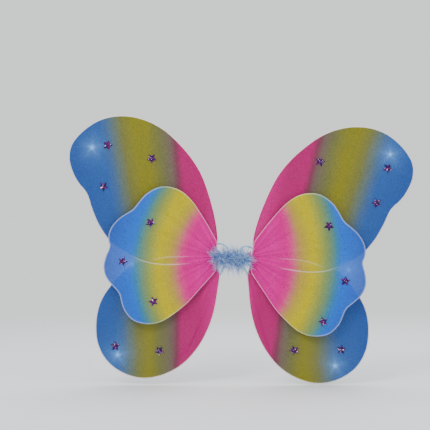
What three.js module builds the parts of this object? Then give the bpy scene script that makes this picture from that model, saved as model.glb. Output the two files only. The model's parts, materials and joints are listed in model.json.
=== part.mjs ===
// Fairy wings: six nylon-covered wire loops held by one small hub, with star gems on the display
// side, a feather trim over the hub and two elastic loops for the wearer's arms.
//
// Millimetres. +X is to the right as seen from the display side, +Z is up, and the display side
// faces -Y. The origin is the middle of the hub's flat back, which rests on the wearer's back.
import * as THREE from 'three';

// ---------------------------------------------------------------- driving dimensions
const CLEARANCE = 0.3; // between pieces that touch
const ROOT_SPACING = 40; // between the two upright lines about which the wings bend

const WIRE_DIAMETER = 1.6;
const END_GAP = 0.8; // between the two ends of one loop where they enter the hub
const LAYER_GAP = 0.6; // between the front, upper and lower loops at the hub
const NYLON_THICKNESS = 1; // the two sheer layers of a cover as one plate
const NYLON_START = 9; // distance from the bend line at which a cover is spread flat

const CORE_THICKNESS = 7; // the wire ends, laid together
const CORE_HEIGHT = 7;
const TAPE_LENGTH = 26;
const TAPE_WALL = 1.2;
const WRAP_WIDTH = 3; // a whipping of thread beside the tape
const WRAP_WALL = 0.7;

const TRIM_LENGTH = 32;
const TRIM_RADIUS = 8.5;
const TRIM_DEPTH = 9;

const GEM_RADIUS = 6.8;
const GEM_WAIST = 3.3; // radius of the star's inner corners
const GEM_HEIGHT = 2.4;
const KNOT_RADIUS = 3; // a knot that gathers the nylon behind each wing
const KNOT_DEPTH = 4;

const STRAP_DIAMETER = 2.5;
const STRAP_SPACING = 18; // between the two arm loops' upright hinge lines
const STRAP_SPLAY = 15; // degrees that a hanging arm loop leans away from the wings
const STRAP_KNOT_RADIUS = 2;

const WIRE_FACETS = 6;
const STRAP_FACETS = 8;
const STRAP_STEPS = 64;

// Each wing's outline is given outward and upward, in per cent of its reach, from the root round
// the wing and back. The loops are bent by hand, so the two sides' reaches differ a little. The
// leads are the wire's first and last bends, in mm. The fan is the angle that the wing leans
// towards the display side at rest, in degrees. A gem is glued on by hand: its third number is
// how far it is turned clockwise from one point up, in degrees.
const WINGS = {
  upper: {
    reach: { left: 219, right: 222.5 },
    layer: 0,
    fan: 0,
    steps: 76,
    leads: [[7.6, 4.8], [10, -2]],
    outline: [
      [2, 11], [4, 27], [12, 53], [19, 65], [27.5, 75], [37.5, 84], [48.5, 90], [60, 93],
      [72, 92.8], [82.5, 89.3], [93, 81.5], [98.8, 73.5], [100, 65], [98, 57], [94.5, 50],
      [88.6, 42.5], [85, 32], [80.5, 21.5], [74, 12], [69, 7.8], [61, 3], [56, -0.5],
      [48.5, -3.3], [40, -4.6], [28, -4.7], [16, -3.6],
    ],
    gems: {
      left: [[75, 74, 18], [45.5, 65.5, 36], [77.5, 47, 36]],
      right: [[83, 69, 36], [38.5, 67.5, 18], [79, 45.5, 54]],
    },
    gather: { left: [85, 72.5], right: [83.5, 78] },
  },
  lower: {
    reach: { left: 181, right: 182 },
    layer: 1,
    fan: -1,
    steps: 62,
    leads: [[7.4, -4.8], [10, 1.6]],
    outline: [
      [1, -12], [2.2, -25], [5.5, -44], [11.2, -60], [20.5, -75.5], [32, -87], [45, -94],
      [57.5, -97], [69, -96.3], [82, -91], [92.3, -82], [98.5, -69.5], [100, -55], [98, -41],
      [94, -31.5], [87.5, -22.5], [78, -12.5], [71.5, -6.6], [56, -2.6], [45.5, -0.2],
      [27, 0.4], [13, 1],
    ],
    gems: {
      left: [[84.5, -72, 0], [49, -75, 36]],
      right: [[79, -69.5, 5], [42, -72, 54]],
    },
    gather: { left: [82.5, -78.5], right: [75, -82.5] },
  },
  front: {
    reach: { left: 168, right: 173 },
    layer: -1,
    fan: 4.5,
    steps: 76,
    leads: [[7.6, 5], [7.6, -5]],
    outline: [
      [3.6, 11.8], [9, 23], [17, 36.5], [25, 48], [34.5, 56.5], [44.5, 60], [53.5, 59.5],
      [63.5, 54], [70, 47], [74.8, 41], [80, 37.6], [87.5, 32.5], [94, 24.5], [96, 16.5],
      [94.8, 9], [97.5, 2.5], [100, -8], [98, -16.5], [92.5, -24], [87, -30.5], [85.2, -36.5],
      [83, -44], [76, -53], [66.5, -56.5], [57.5, -56.6], [49.5, -54], [39.5, -47.5],
      [29, -39], [19, -28], [10, -18], [4.4, -10.5],
    ],
    gems: {
      left: [[60.5, 30, 32], [84.5, -3.5, 18], [57.5, -38, 54]],
      right: [[63, 36, 36], [83, -8, 8], [70.5, -44, 54]],
    },
    gather: { left: [76.5, -5.5], right: [84.5, 2] },
  },
};

// The wires stand where they were last bent: the droop turns a wing in its own plane, in degrees.
const SIDES = {
  left: { sign: -1, droop: { upper: 0, lower: 0, front: 0 } },
  right: { sign: 1, droop: { upper: 7.2, lower: 3.6, front: 8.4 } },
};

// The arm loops' routes between their upper and lower knots, outward from the hinge line and
// upward. An elastic loop hangs as a drop, and its lie near the hub differs on the two sides.
const STRAP_ROUTES = {
  left: [
    [1, 12.5], [5, 17], [12, 19.2], [21, 17.5], [35, 9], [52.5, -8], [68.5, -36], [81, -71],
    [87, -106], [85.5, -133], [76.5, -146.5], [64.5, -141], [52, -117.5], [37.5, -87], [25, -57],
    [14.5, -32], [7, -17], [1.2, -11.8],
  ],
  right: [
    [1, 12], [4.5, 14.8], [11, 15.2], [21, 11], [35, 0], [50, -19], [63, -48], [71.5, -82],
    [74, -116], [70, -143], [60, -154], [48.5, -147], [39, -124], [30, -93], [21.5, -62],
    [13.5, -34], [6.5, -17], [1.2, -11.8],
  ],
};

// ---------------------------------------------------------------- values that follow from them
const WIRE_RADIUS = WIRE_DIAMETER / 2;
const WIRE_PITCH = WIRE_DIAMETER + END_GAP;
const LAYER_PITCH = WIRE_DIAMETER + LAYER_GAP;
const HUB_RADIUS = CORE_THICKNESS / 2;
const ROOT_REACH = HUB_RADIUS + CLEARANCE; // where a loop's ends meet the hub's rounded end
const HUB_Y = -(HUB_RADIUS + CLEARANCE + TAPE_WALL); // puts the tape's back face at Y = 0
const TAPE_TOP = CORE_HEIGHT / 2 + CLEARANCE + TAPE_WALL;
const STRAP_KNOT_Y = -STRAP_KNOT_RADIUS - CLEARANCE; // leaves the tape's back face clear
const STRAP_KNOT_Z = TAPE_TOP + CLEARANCE + STRAP_KNOT_RADIUS;
const STRAP_END = STRAP_KNOT_Z + STRAP_KNOT_RADIUS + CLEARANCE;
const FRONT_OF_TAPE = HUB_Y - HUB_RADIUS - CLEARANCE - TAPE_WALL;

// ---------------------------------------------------------------- materials
function finish(color, roughness, metalness = 0) {
  return new THREE.MeshStandardMaterial({ color, roughness, metalness });
}

const STEEL = finish(0xd6dde6, 0.35, 0.9);
const NYLON = {
  upper: finish(0xb9a94e, 0.6),
  lower: finish(0xb0a052, 0.6),
  front: finish(0xcdb63f, 0.6),
};
const GEM = finish(0x6a2f9a, 0.12, 0.4);
const THREAD = finish(0xeef3f8, 0.8);
const TAPE = finish(0xf3f5f7, 0.7);
const FEATHER = finish(0x86b4e2, 0.95);
const ELASTIC = finish(0xd3ecf4, 0.75);

// ---------------------------------------------------------------- helpers
const radians = THREE.MathUtils.degToRad;

function part(name, geometry, material) {
  const mesh = new THREE.Mesh(geometry, material);
  mesh.name = name;
  return mesh;
}

// A point of a wing, given in per cent of its reach, in the wing's own plane on its own side.
function wingPoint([outward, upward], reach, side, droop) {
  const x = (outward * reach) / 100;
  const z = (upward * reach) / 100;
  const turned = x * Math.cos(droop) + z * Math.sin(droop);
  return new THREE.Vector3(side.sign * turned, 0, z * Math.cos(droop) - x * Math.sin(droop));
}

function rootPoint(outward, upward, side) {
  return new THREE.Vector3(side.sign * outward, 0, upward);
}

// The centreline of a wing's wire, from one end in the hub round the wing to the other end.
function wireCurve(wing, reach, side, droop) {
  const [[firstX, firstZ], [lastX, lastZ]] = wing.leads;
  const first = (Math.sign(firstZ) * WIRE_PITCH) / 2;
  const last = (Math.sign(lastZ) * WIRE_PITCH) / 2;
  const points = [
    rootPoint(ROOT_REACH, first, side),
    rootPoint(ROOT_REACH + WIRE_DIAMETER, first, side),
    rootPoint(firstX, firstZ, side),
    ...wing.outline.map((point) => wingPoint(point, reach, side, droop)),
    rootPoint(lastX, lastZ, side),
    rootPoint(ROOT_REACH + WIRE_DIAMETER, last, side),
    rootPoint(ROOT_REACH, last, side),
  ];
  return new THREE.CatmullRomCurve3(points, false, 'centripetal');
}

function circleShape(radius, sides) {
  const corners = [];
  for (let i = 0; i < sides; i += 1) {
    const angle = (2 * Math.PI * i) / sides;
    corners.push(new THREE.Vector2(radius * Math.cos(angle), radius * Math.sin(angle)));
  }
  return new THREE.Shape(corners);
}

function rodAlong(curve, radius, sides, steps) {
  const section = circleShape(radius, sides);
  return new THREE.ExtrudeGeometry(section, { steps, bevelEnabled: false, extrudePath: curve });
}

// The flat plate inside a wire loop, its edge one wire radius and a clearance from the centreline.
function platePoints(curve, steps) {
  const inset = WIRE_RADIUS + CLEARANCE;
  const line = curve.getSpacedPoints(steps);
  const closed = new THREE.Shape(line.map((p) => new THREE.Vector2(p.x, p.z)));
  const inward = THREE.ShapeUtils.isClockWise(closed.getPoints()) ? -1 : 1;
  const points = [];
  for (let i = 1; i < line.length - 1; i += 1) {
    const along = new THREE.Vector2(line[i + 1].x - line[i - 1].x, line[i + 1].z - line[i - 1].z);
    along.normalize();
    const x = line[i].x - inward * inset * along.y;
    const z = line[i].z + inward * inset * along.x;
    if (Math.hypot(x, z) > NYLON_START) points.push(new THREE.Vector2(x, z));
  }
  return points;
}

// Extrudes a shape drawn in X and Z through a thickness centred on Y = 0.
function slab(shape, thickness) {
  const geometry = new THREE.ExtrudeGeometry(shape, { depth: thickness, bevelEnabled: false });
  geometry.rotateX(Math.PI / 2);
  geometry.translate(0, thickness / 2, 0);
  return geometry;
}

// A five-pointed faceted star with one point up, its back at Y = 0 and its apex towards -Y.
function starGem() {
  const corners = 10;
  const geometry = new THREE.CylinderGeometry(0, GEM_RADIUS, GEM_HEIGHT, corners);
  const position = geometry.attributes.position;
  for (let i = 0; i < position.count; i += 1) {
    const angle = Math.atan2(position.getX(i), position.getZ(i));
    const corner = Math.round((angle * corners) / (2 * Math.PI));
    if (Math.hypot(position.getX(i), position.getZ(i)) > GEM_WAIST && corner % 2 === 0) {
      position.setX(i, GEM_WAIST * Math.sin(angle));
      position.setZ(i, GEM_WAIST * Math.cos(angle));
    }
  }
  geometry.rotateX(Math.PI);
  geometry.translate(0, -GEM_HEIGHT / 2, 0);
  return geometry;
}

// A ring round the core, running along X from -length / 2 to length / 2.
function sleeve(length, wall) {
  const innerY = CORE_THICKNESS / 2 + CLEARANCE;
  const innerZ = CORE_HEIGHT / 2 + CLEARANCE;
  const ring = rectangle(innerZ + wall, innerY + wall);
  ring.holes.push(rectangle(innerZ, innerY));
  const geometry = new THREE.ExtrudeGeometry(ring, { depth: length, bevelEnabled: false });
  geometry.translate(0, 0, -length / 2);
  geometry.rotateY(Math.PI / 2);
  return geometry;
}

function rectangle(halfWidth, halfHeight) {
  const shape = new THREE.Shape();
  shape.moveTo(-halfWidth, -halfHeight);
  shape.lineTo(halfWidth, -halfHeight);
  shape.lineTo(halfWidth, halfHeight);
  shape.lineTo(-halfWidth, halfHeight);
  shape.closePath();
  return shape;
}

// ---------------------------------------------------------------- the wings
function buildWing(sideName, wingName) {
  const side = SIDES[sideName];
  const wing = WINGS[wingName];
  const reach = wing.reach[sideName];
  const droop = radians(side.droop[wingName]);
  const label = `${sideName}_${wingName}`;
  const curve = wireCurve(wing, reach, side, droop);
  const plate = new THREE.Shape(platePoints(curve, wing.steps));

  const spread = new THREE.Group();
  spread.position.y = wing.layer * LAYER_PITCH;
  spread.add(part(`${label}_wire`, rodAlong(curve, WIRE_RADIUS, WIRE_FACETS, wing.steps), STEEL));
  spread.add(part(`${label}_nylon`, slab(plate, NYLON_THICKNESS), NYLON[wingName]));

  wing.gems[sideName].forEach(([outward, upward, turn], index) => {
    const gem = part(`${label}_star_${index + 1}`, starGem(), GEM);
    gem.position.copy(wingPoint([outward, upward], reach, side, droop));
    gem.position.y = -NYLON_THICKNESS / 2 - CLEARANCE;
    gem.rotation.y = radians(turn);
    spread.add(gem);
  });

  const knot = part(`${label}_gather_knot`, new THREE.SphereGeometry(KNOT_RADIUS, 10, 6), THREAD);
  knot.scale.y = KNOT_DEPTH / 2 / KNOT_RADIUS;
  knot.position.copy(wingPoint(wing.gather[sideName], reach, side, droop));
  knot.position.y = NYLON_THICKNESS / 2 + CLEARANCE + KNOT_DEPTH / 2;
  spread.add(knot);

  const root = new THREE.Group();
  root.position.set((side.sign * ROOT_SPACING) / 2, HUB_Y, 0);
  root.rotation.z = -side.sign * radians(wing.fan);
  root.add(spread);
  return root;
}

// ---------------------------------------------------------------- the hub
function buildHub() {
  const hub = new THREE.Group();

  const outline = new THREE.Shape();
  outline.absarc(ROOT_SPACING / 2, 0, HUB_RADIUS, -Math.PI / 2, Math.PI / 2);
  outline.absarc(-ROOT_SPACING / 2, 0, HUB_RADIUS, Math.PI / 2, (3 * Math.PI) / 2);
  const core = new THREE.ExtrudeGeometry(outline, {
    depth: CORE_HEIGHT,
    bevelEnabled: false,
    curveSegments: 8,
  });
  core.translate(0, HUB_Y, -CORE_HEIGHT / 2);
  hub.add(part('wire_end_core', core, STEEL));

  const tape = part('hub_tape', sleeve(TAPE_LENGTH, TAPE_WALL), TAPE);
  tape.position.y = HUB_Y;
  hub.add(tape);

  for (const [sideName, side] of Object.entries(SIDES)) {
    const wrap = part(`${sideName}_thread_wrap`, sleeve(WRAP_WIDTH, WRAP_WALL), THREAD);
    wrap.position.set(side.sign * (TAPE_LENGTH / 2 + CLEARANCE + WRAP_WIDTH / 2), HUB_Y, 0);
    hub.add(wrap);
  }

  const down = new THREE.CapsuleGeometry(TRIM_RADIUS, TRIM_LENGTH - 2 * TRIM_RADIUS, 4, 12);
  down.rotateZ(Math.PI / 2);
  const trim = part('feather_trim', down, FEATHER);
  trim.scale.y = TRIM_DEPTH / 2 / TRIM_RADIUS;
  trim.position.y = FRONT_OF_TAPE - CLEARANCE - TRIM_DEPTH / 2;
  hub.add(trim);
  return hub;
}

// ---------------------------------------------------------------- the arm loops
function buildArmLoop(sideName) {
  const side = SIDES[sideName];
  const loop = new THREE.Group();
  loop.position.set((side.sign * STRAP_SPACING) / 2, STRAP_KNOT_Y, 0);

  for (const [level, up] of Object.entries({ top: 1, bottom: -1 })) {
    const shape = new THREE.SphereGeometry(STRAP_KNOT_RADIUS, 10, 8);
    const knot = part(`${sideName}_${level}_strap_knot`, shape, ELASTIC);
    knot.position.z = up * STRAP_KNOT_Z;
    loop.add(knot);
  }

  const places = [[0, STRAP_END], ...STRAP_ROUTES[sideName], [0, -STRAP_END]];
  const route = places.map(([outward, upward]) => rootPoint(outward, upward, side));
  const curve = new THREE.CatmullRomCurve3(route, false, 'centripetal');
  const elastic = rodAlong(curve, STRAP_DIAMETER / 2, STRAP_FACETS, STRAP_STEPS);
  const strap = part(`${sideName}_arm_loop`, elastic, ELASTIC);
  strap.rotation.z = side.sign * radians(STRAP_SPLAY);
  loop.add(strap);
  return loop;
}

// ---------------------------------------------------------------- the assembly
const wings = new THREE.Group();
wings.add(buildHub());
for (const sideName of Object.keys(SIDES)) {
  for (const wingName of Object.keys(WINGS)) wings.add(buildWing(sideName, wingName));
  wings.add(buildArmLoop(sideName));
}

export default wings;
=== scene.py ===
"""Fairy wings: the nylon, wires, gems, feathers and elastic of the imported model, and a small studio.

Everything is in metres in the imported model's frame: X to the right as seen from the display side,
Z up, and the display side faces -Y.
"""
import json
import logging
import math
from dataclasses import dataclass, field, replace
from enum import Enum
from typing import Sequence, Union

import bmesh
import bpy
import numpy as np
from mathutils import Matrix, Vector


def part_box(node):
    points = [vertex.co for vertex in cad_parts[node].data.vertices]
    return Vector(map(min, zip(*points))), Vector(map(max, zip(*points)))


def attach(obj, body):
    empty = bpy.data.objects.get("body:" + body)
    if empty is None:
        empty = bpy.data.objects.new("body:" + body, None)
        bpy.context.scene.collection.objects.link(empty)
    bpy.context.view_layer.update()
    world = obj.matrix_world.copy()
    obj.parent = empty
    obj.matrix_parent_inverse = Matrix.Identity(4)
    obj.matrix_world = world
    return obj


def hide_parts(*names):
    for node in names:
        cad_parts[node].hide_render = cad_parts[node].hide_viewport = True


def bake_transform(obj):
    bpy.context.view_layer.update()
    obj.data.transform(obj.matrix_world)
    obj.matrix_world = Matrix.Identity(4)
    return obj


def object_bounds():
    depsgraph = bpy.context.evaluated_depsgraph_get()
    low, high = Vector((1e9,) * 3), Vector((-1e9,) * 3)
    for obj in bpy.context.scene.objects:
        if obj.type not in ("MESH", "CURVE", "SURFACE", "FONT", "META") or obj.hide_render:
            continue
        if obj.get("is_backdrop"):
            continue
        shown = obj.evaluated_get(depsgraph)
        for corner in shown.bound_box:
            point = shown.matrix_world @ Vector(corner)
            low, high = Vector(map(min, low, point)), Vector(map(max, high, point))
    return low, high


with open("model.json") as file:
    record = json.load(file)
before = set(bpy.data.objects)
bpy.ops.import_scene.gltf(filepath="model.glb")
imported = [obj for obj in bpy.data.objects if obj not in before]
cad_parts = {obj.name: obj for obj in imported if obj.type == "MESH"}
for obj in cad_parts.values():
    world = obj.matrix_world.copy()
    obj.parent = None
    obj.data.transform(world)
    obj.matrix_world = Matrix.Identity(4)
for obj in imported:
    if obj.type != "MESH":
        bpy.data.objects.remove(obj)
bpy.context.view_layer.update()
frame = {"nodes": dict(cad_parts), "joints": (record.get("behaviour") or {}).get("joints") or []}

MM = 0.001
STEPS_BETWEEN = 24
log = logging.getLogger("fairy_wings")

Colour = tuple[float, float, float]
Number = Union[float, "Scalar"]
Faces = list[Sequence[int]]


def linear(code: str) -> Colour:
    """Gives the linear colour of a six-digit display colour code."""
    values = [int(code[i:i + 2], 16) / 255 for i in (0, 2, 4)]
    return tuple(v / 12.92 if v <= 0.04045 else ((v + 0.055) / 1.055) ** 2.4 for v in values)


class Side(Enum):
    """The side of the hub that a piece is on, as seen from the display side."""

    LEFT = "left"
    RIGHT = "right"

    @property
    def sign(self) -> int:
        """The sign of X on this side."""
        return 1 if self is Side.RIGHT else -1


class Wing(Enum):
    """The three wings of a side."""

    UPPER = "upper"
    LOWER = "lower"
    FRONT = "front"


# ------------------------------------------------------------------------------- shader building
class Scalar:
    """A number socket that can be used in a Python expression, which adds Math nodes."""

    def __init__(self, shader: "Shader", socket: bpy.types.NodeSocket) -> None:
        """Keeps the shader that owns the socket, and the socket."""
        self.shader = shader
        self.socket = socket

    def math(self, operation: str, *others: Number) -> "Scalar":
        """Adds one Math node.

        Args:
            operation: the Math node's operation.
            others: the second and third values, where it takes them.

        Returns:
            The node's result.
        """
        inputs = dict(enumerate((self, *others)))
        made = self.shader.node("ShaderNodeMath", {"operation": operation}, inputs)
        return Scalar(self.shader, made.outputs[0])

    def reflected(self, operation: str, first: Number) -> "Scalar":
        """Adds one Math node whose first value is a plain number and whose second is this one."""
        made = self.shader.node("ShaderNodeMath", {"operation": operation}, {0: first, 1: self})
        return Scalar(self.shader, made.outputs[0])

    def __add__(self, other: Number) -> "Scalar":
        """This value plus another."""
        return self.math("ADD", other)

    __radd__ = __add__

    def __mul__(self, other: Number) -> "Scalar":
        """This value times another."""
        return self.math("MULTIPLY", other)

    __rmul__ = __mul__

    def __sub__(self, other: Number) -> "Scalar":
        """This value less another."""
        return self.math("SUBTRACT", other)

    def __rsub__(self, other: Number) -> "Scalar":
        """Another value less this one."""
        return self.reflected("SUBTRACT", other)

    def __truediv__(self, other: Number) -> "Scalar":
        """This value over another."""
        return self.math("DIVIDE", other)

    def __neg__(self) -> "Scalar":
        """This value with its sign changed."""
        return self * -1.0

    def sin(self) -> "Scalar":
        """The sine of this value, in radians."""
        return self.math("SINE")

    def waves(self, beats: Sequence[tuple[float, float]]) -> "Scalar":
        """The sum of sines of this angle, from each one's turns and start."""
        first, *others = [(self * turns + start).sin() for turns, start in beats]
        return sum(others, first)

    def exp(self) -> "Scalar":
        """The exponential of this value."""
        return self.math("EXPONENT")

    def hypot(self, other: "Scalar") -> "Scalar":
        """The length of the vector that this value and another make."""
        return (self * self + other * other).math("SQRT")

    def clamp(self) -> "Scalar":
        """This value kept from 0 to 1."""
        return self.math("MAXIMUM", 0.0).math("MINIMUM", 1.0)

    def ramp_up(self, low: float, high: float) -> "Scalar":
        """A smooth step.

        Args:
            low: where it is 0.
            high: where it is 1.

        Returns:
            The step's height at this value.
        """
        return Scalar(self.shader, self.shader.node(
            "ShaderNodeMapRange", {"interpolation_type": "SMOOTHSTEP"},
            {"Value": self, "From Min": low, "From Max": high, "To Min": 0.0, "To Max": 1.0},
        ).outputs["Result"])


class Nodes:
    """A node tree, to which one method adds nodes."""

    def __init__(self, tree: bpy.types.NodeTree) -> None:
        """Keeps the tree."""
        self.tree = tree

    def node(self, kind: str, settings: dict, inputs: dict) -> bpy.types.Node:
        """Adds a node.

        Args:
            kind: the node's type.
            settings: the node's properties, and "stops" for a colour ramp, set first.
            inputs: values, Scalars or sockets for its inputs, by name or number.

        Returns:
            The node.
        """
        made = self.tree.nodes.new(kind)
        for key, value in settings.items():
            if key == "stops":
                self._set_stops(made.color_ramp, value)
            else:
                setattr(made, key, value)
        for key, value in inputs.items():
            self.feed(made.inputs[key], value)
        return made

    @staticmethod
    def _set_stops(ramp: bpy.types.ColorRamp, stops: Sequence[tuple[float, Colour]]) -> None:
        """Gives a colour ramp its stops.

        Args:
            ramp: the ramp, with its two first elements.
            stops: each stop's position and colour.
        """
        while len(ramp.elements) < len(stops):
            ramp.elements.new(1.0)
        for element, (position, colour) in zip(ramp.elements, stops):
            element.position = position
            element.color = (*colour, 1.0)

    def feed(self, socket: bpy.types.NodeSocket, value: object) -> None:
        """Links or sets one input socket.

        Args:
            socket: the input.
            value: a Scalar or a socket to link, or a plain value.
        """
        if isinstance(value, Scalar):
            self.tree.links.new(value.socket, socket)
        elif isinstance(value, bpy.types.NodeSocket):
            self.tree.links.new(value, socket)
        elif isinstance(value, tuple) and len(value) == 3 and socket.type == "RGBA":
            socket.default_value = (*value, 1.0)
        else:
            socket.default_value = value


class Shader(Nodes):
    """One material and its node tree, with a Principled surface."""

    def __init__(self, name: str, roughness: float, **constant: float) -> None:
        """Makes the material.

        Args:
            name: the material's name.
            roughness: the surface's roughness.
            constant: other inputs of the surface that stay the same all over it, with the spaces
                in their names as underscores.
        """
        self.material = bpy.data.materials.new(name)
        self.material.use_nodes = True
        super().__init__(self.material.node_tree)
        self.tree.nodes.clear()
        self.surface = self.node("ShaderNodeBsdfPrincipled", {}, {"Roughness": roughness})
        for words, value in constant.items():
            self.surface.inputs[words.replace("_", " ")].default_value = value
        output = self.node("ShaderNodeOutputMaterial", {}, {})
        self.tree.links.new(self.surface.outputs[0], output.inputs["Surface"])

    def scaled(self, vector: object, factor: Number) -> bpy.types.NodeSocket:
        """Gives a vector or colour times a number."""
        made = self.node("ShaderNodeVectorMath", {"operation": "SCALE"}, {0: vector, "Scale": factor})
        return made.outputs[0]

    def coordinates(self) -> bpy.types.NodeSocket:
        """Gives the object coordinates, in millimetres."""
        return self.scaled(self.node("ShaderNodeTexCoord", {}, {}).outputs["Object"], 1.0 / MM)

    def map(self, name: str) -> bpy.types.NodeSocket:
        """Gives one of the mesh's own coordinate maps."""
        return self.node("ShaderNodeUVMap", {"uv_map": name}, {}).outputs[0]

    def colour(self, value: object) -> None:
        """Feeds the surface's colour."""
        self.feed(self.surface.inputs["Base Color"], value)

    def roughness(self, value: Scalar) -> None:
        """Feeds the surface's roughness."""
        self.feed(self.surface.inputs["Roughness"], value)

    def split(self, vector: bpy.types.NodeSocket) -> tuple[Scalar, Scalar, Scalar]:
        """Gives a vector's three parts."""
        parts = self.node("ShaderNodeSeparateXYZ", {}, {0: vector})
        return tuple(Scalar(self, output) for output in parts.outputs)

    def noise(self, vector: bpy.types.NodeSocket, size: float, detail: float = 2.0) -> Scalar:
        """Gives a noise.

        Args:
            vector: the coordinates.
            size: how long its lumps are, about, in the coordinates' unit.
            detail: how much finer noise is added.

        Returns:
            A number from 0 to 1.
        """
        made = self.node(
            "ShaderNodeTexNoise", {"noise_dimensions": "3D"},
            {"Vector": vector, "Scale": 1.0 / size, "Detail": detail},
        )
        return Scalar(self, made.outputs[0])

    def attribute(self, name: str) -> Scalar:
        """Gives a number stored on the mesh."""
        made = self.node("ShaderNodeAttribute", {"attribute_name": name}, {})
        return Scalar(self, made.outputs["Fac"])

    def curve(self, value: Scalar, points: np.ndarray, low: float, high: float) -> Scalar:
        """Gives the height of a curve at a value.

        Args:
            value: the place along the curve.
            points: the curve's own places and heights.
            low: the number below every place and height.
            high: the number above every place and height.

        Returns:
            The height there.
        """
        made = self.node("ShaderNodeFloatCurve", {}, {"Value": (value - low) / (high - low)})
        line = made.mapping.curves[0]
        for at, height in (points - low) / (high - low):
            line.points.new(float(at), float(height)).handle_type = "AUTO_CLAMPED"
        made.mapping.update()
        return Scalar(self, made.outputs[0]) * (high - low) + low

    def ramp(self, factor: Scalar, stops: Sequence[tuple[float, Colour]]) -> bpy.types.NodeSocket:
        """Gives the colour of a ramp at a factor."""
        return self.node("ShaderNodeValToRGB", {"stops": stops}, {"Fac": factor}).outputs["Color"]

    def mix(self, factor: Number, first: object, second: object) -> bpy.types.NodeSocket:
        """Mixes two colours.

        Args:
            factor: 0 for the first colour and 1 for the second.
            first: a colour or a colour socket.
            second: a colour or a colour socket.

        Returns:
            The mixed colour.
        """
        settings = {"data_type": "RGBA", "blend_type": "MIX", "clamp_factor": True}
        return self.node("ShaderNodeMix", settings, {0: factor, 6: first, 7: second}).outputs[2]

    def bump(self, height: Scalar, depth: float, strength: float = 1.0) -> None:
        """Raises the surface by a height from 0 to 1 times a depth in metres."""
        made = self.node("ShaderNodeBump", {}, {"Height": height, "Distance": depth, "Strength": strength})
        self.feed(self.surface.inputs["Normal"], made.outputs[0])


@dataclass(frozen=True)
class Bands:
    """Where the dye changes on one wing, in millimetres out from the hub, before the wing droops."""

    pink_end: float
    pink_lean: float
    pink_bow: float
    blue_start: float
    blue_lean: float
    blue_bow: float
    bow_centre: float = -15.0


@dataclass(frozen=True)
class Cloth:
    """The nylon of one kind of wing.

    Its colours are stops in millimetres out from the two band edges. The rest is how closely it
    covers, how strongly the painted fold shade and highlight at its root (pleat) and the pale burst
    at its gather knot (partly painted highlight) show, and how white its rim is.
    """

    inner: tuple[tuple[float, Colour], ...]
    outer: tuple[tuple[float, Colour], ...]
    cover: float
    pleat: float
    burst: float
    rim_white: float


BACK_CLOTH = Cloth(
    inner=(
        (-58.0, linear("cb027e")), (-30.0, linear("a90262")), (-4.0, linear("a90262")),
        (4.0, linear("742f48")), (12.0, linear("66574b")), (27.0, linear("656732")),
        (44.0, linear("7a760c")),
    ),
    outer=(
        (-24.0, linear("7a760c")), (-8.0, linear("696b2e")), (6.0, linear("4f6366")),
        (14.0, linear("375986")), (24.0, linear("1e5198")), (60.0, linear("184993")),
    ),
    cover=0.88, pleat=0.30, burst=1.0, rim_white=0.7,
)
FRONT_CLOTH = Cloth(
    inner=(
        (-58.0, linear("d20287")), (-30.0, linear("d9028e")), (-12.0, linear("d50285")),
        (-3.0, linear("d73c80")), (4.0, linear("bf7c60")), (12.0, linear("b69c39")),
        (26.0, linear("bfb002")),
    ),
    outer=(
        (-26.0, linear("bfb002")), (-8.0, linear("7e9252")), (2.0, linear("558577")),
        (8.0, linear("3279a8")), (16.0, linear("1f67d4")), (50.0, linear("2756b2")),
    ),
    cover=0.80, pleat=0.20, burst=0.35, rim_white=0.22,
)


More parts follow.
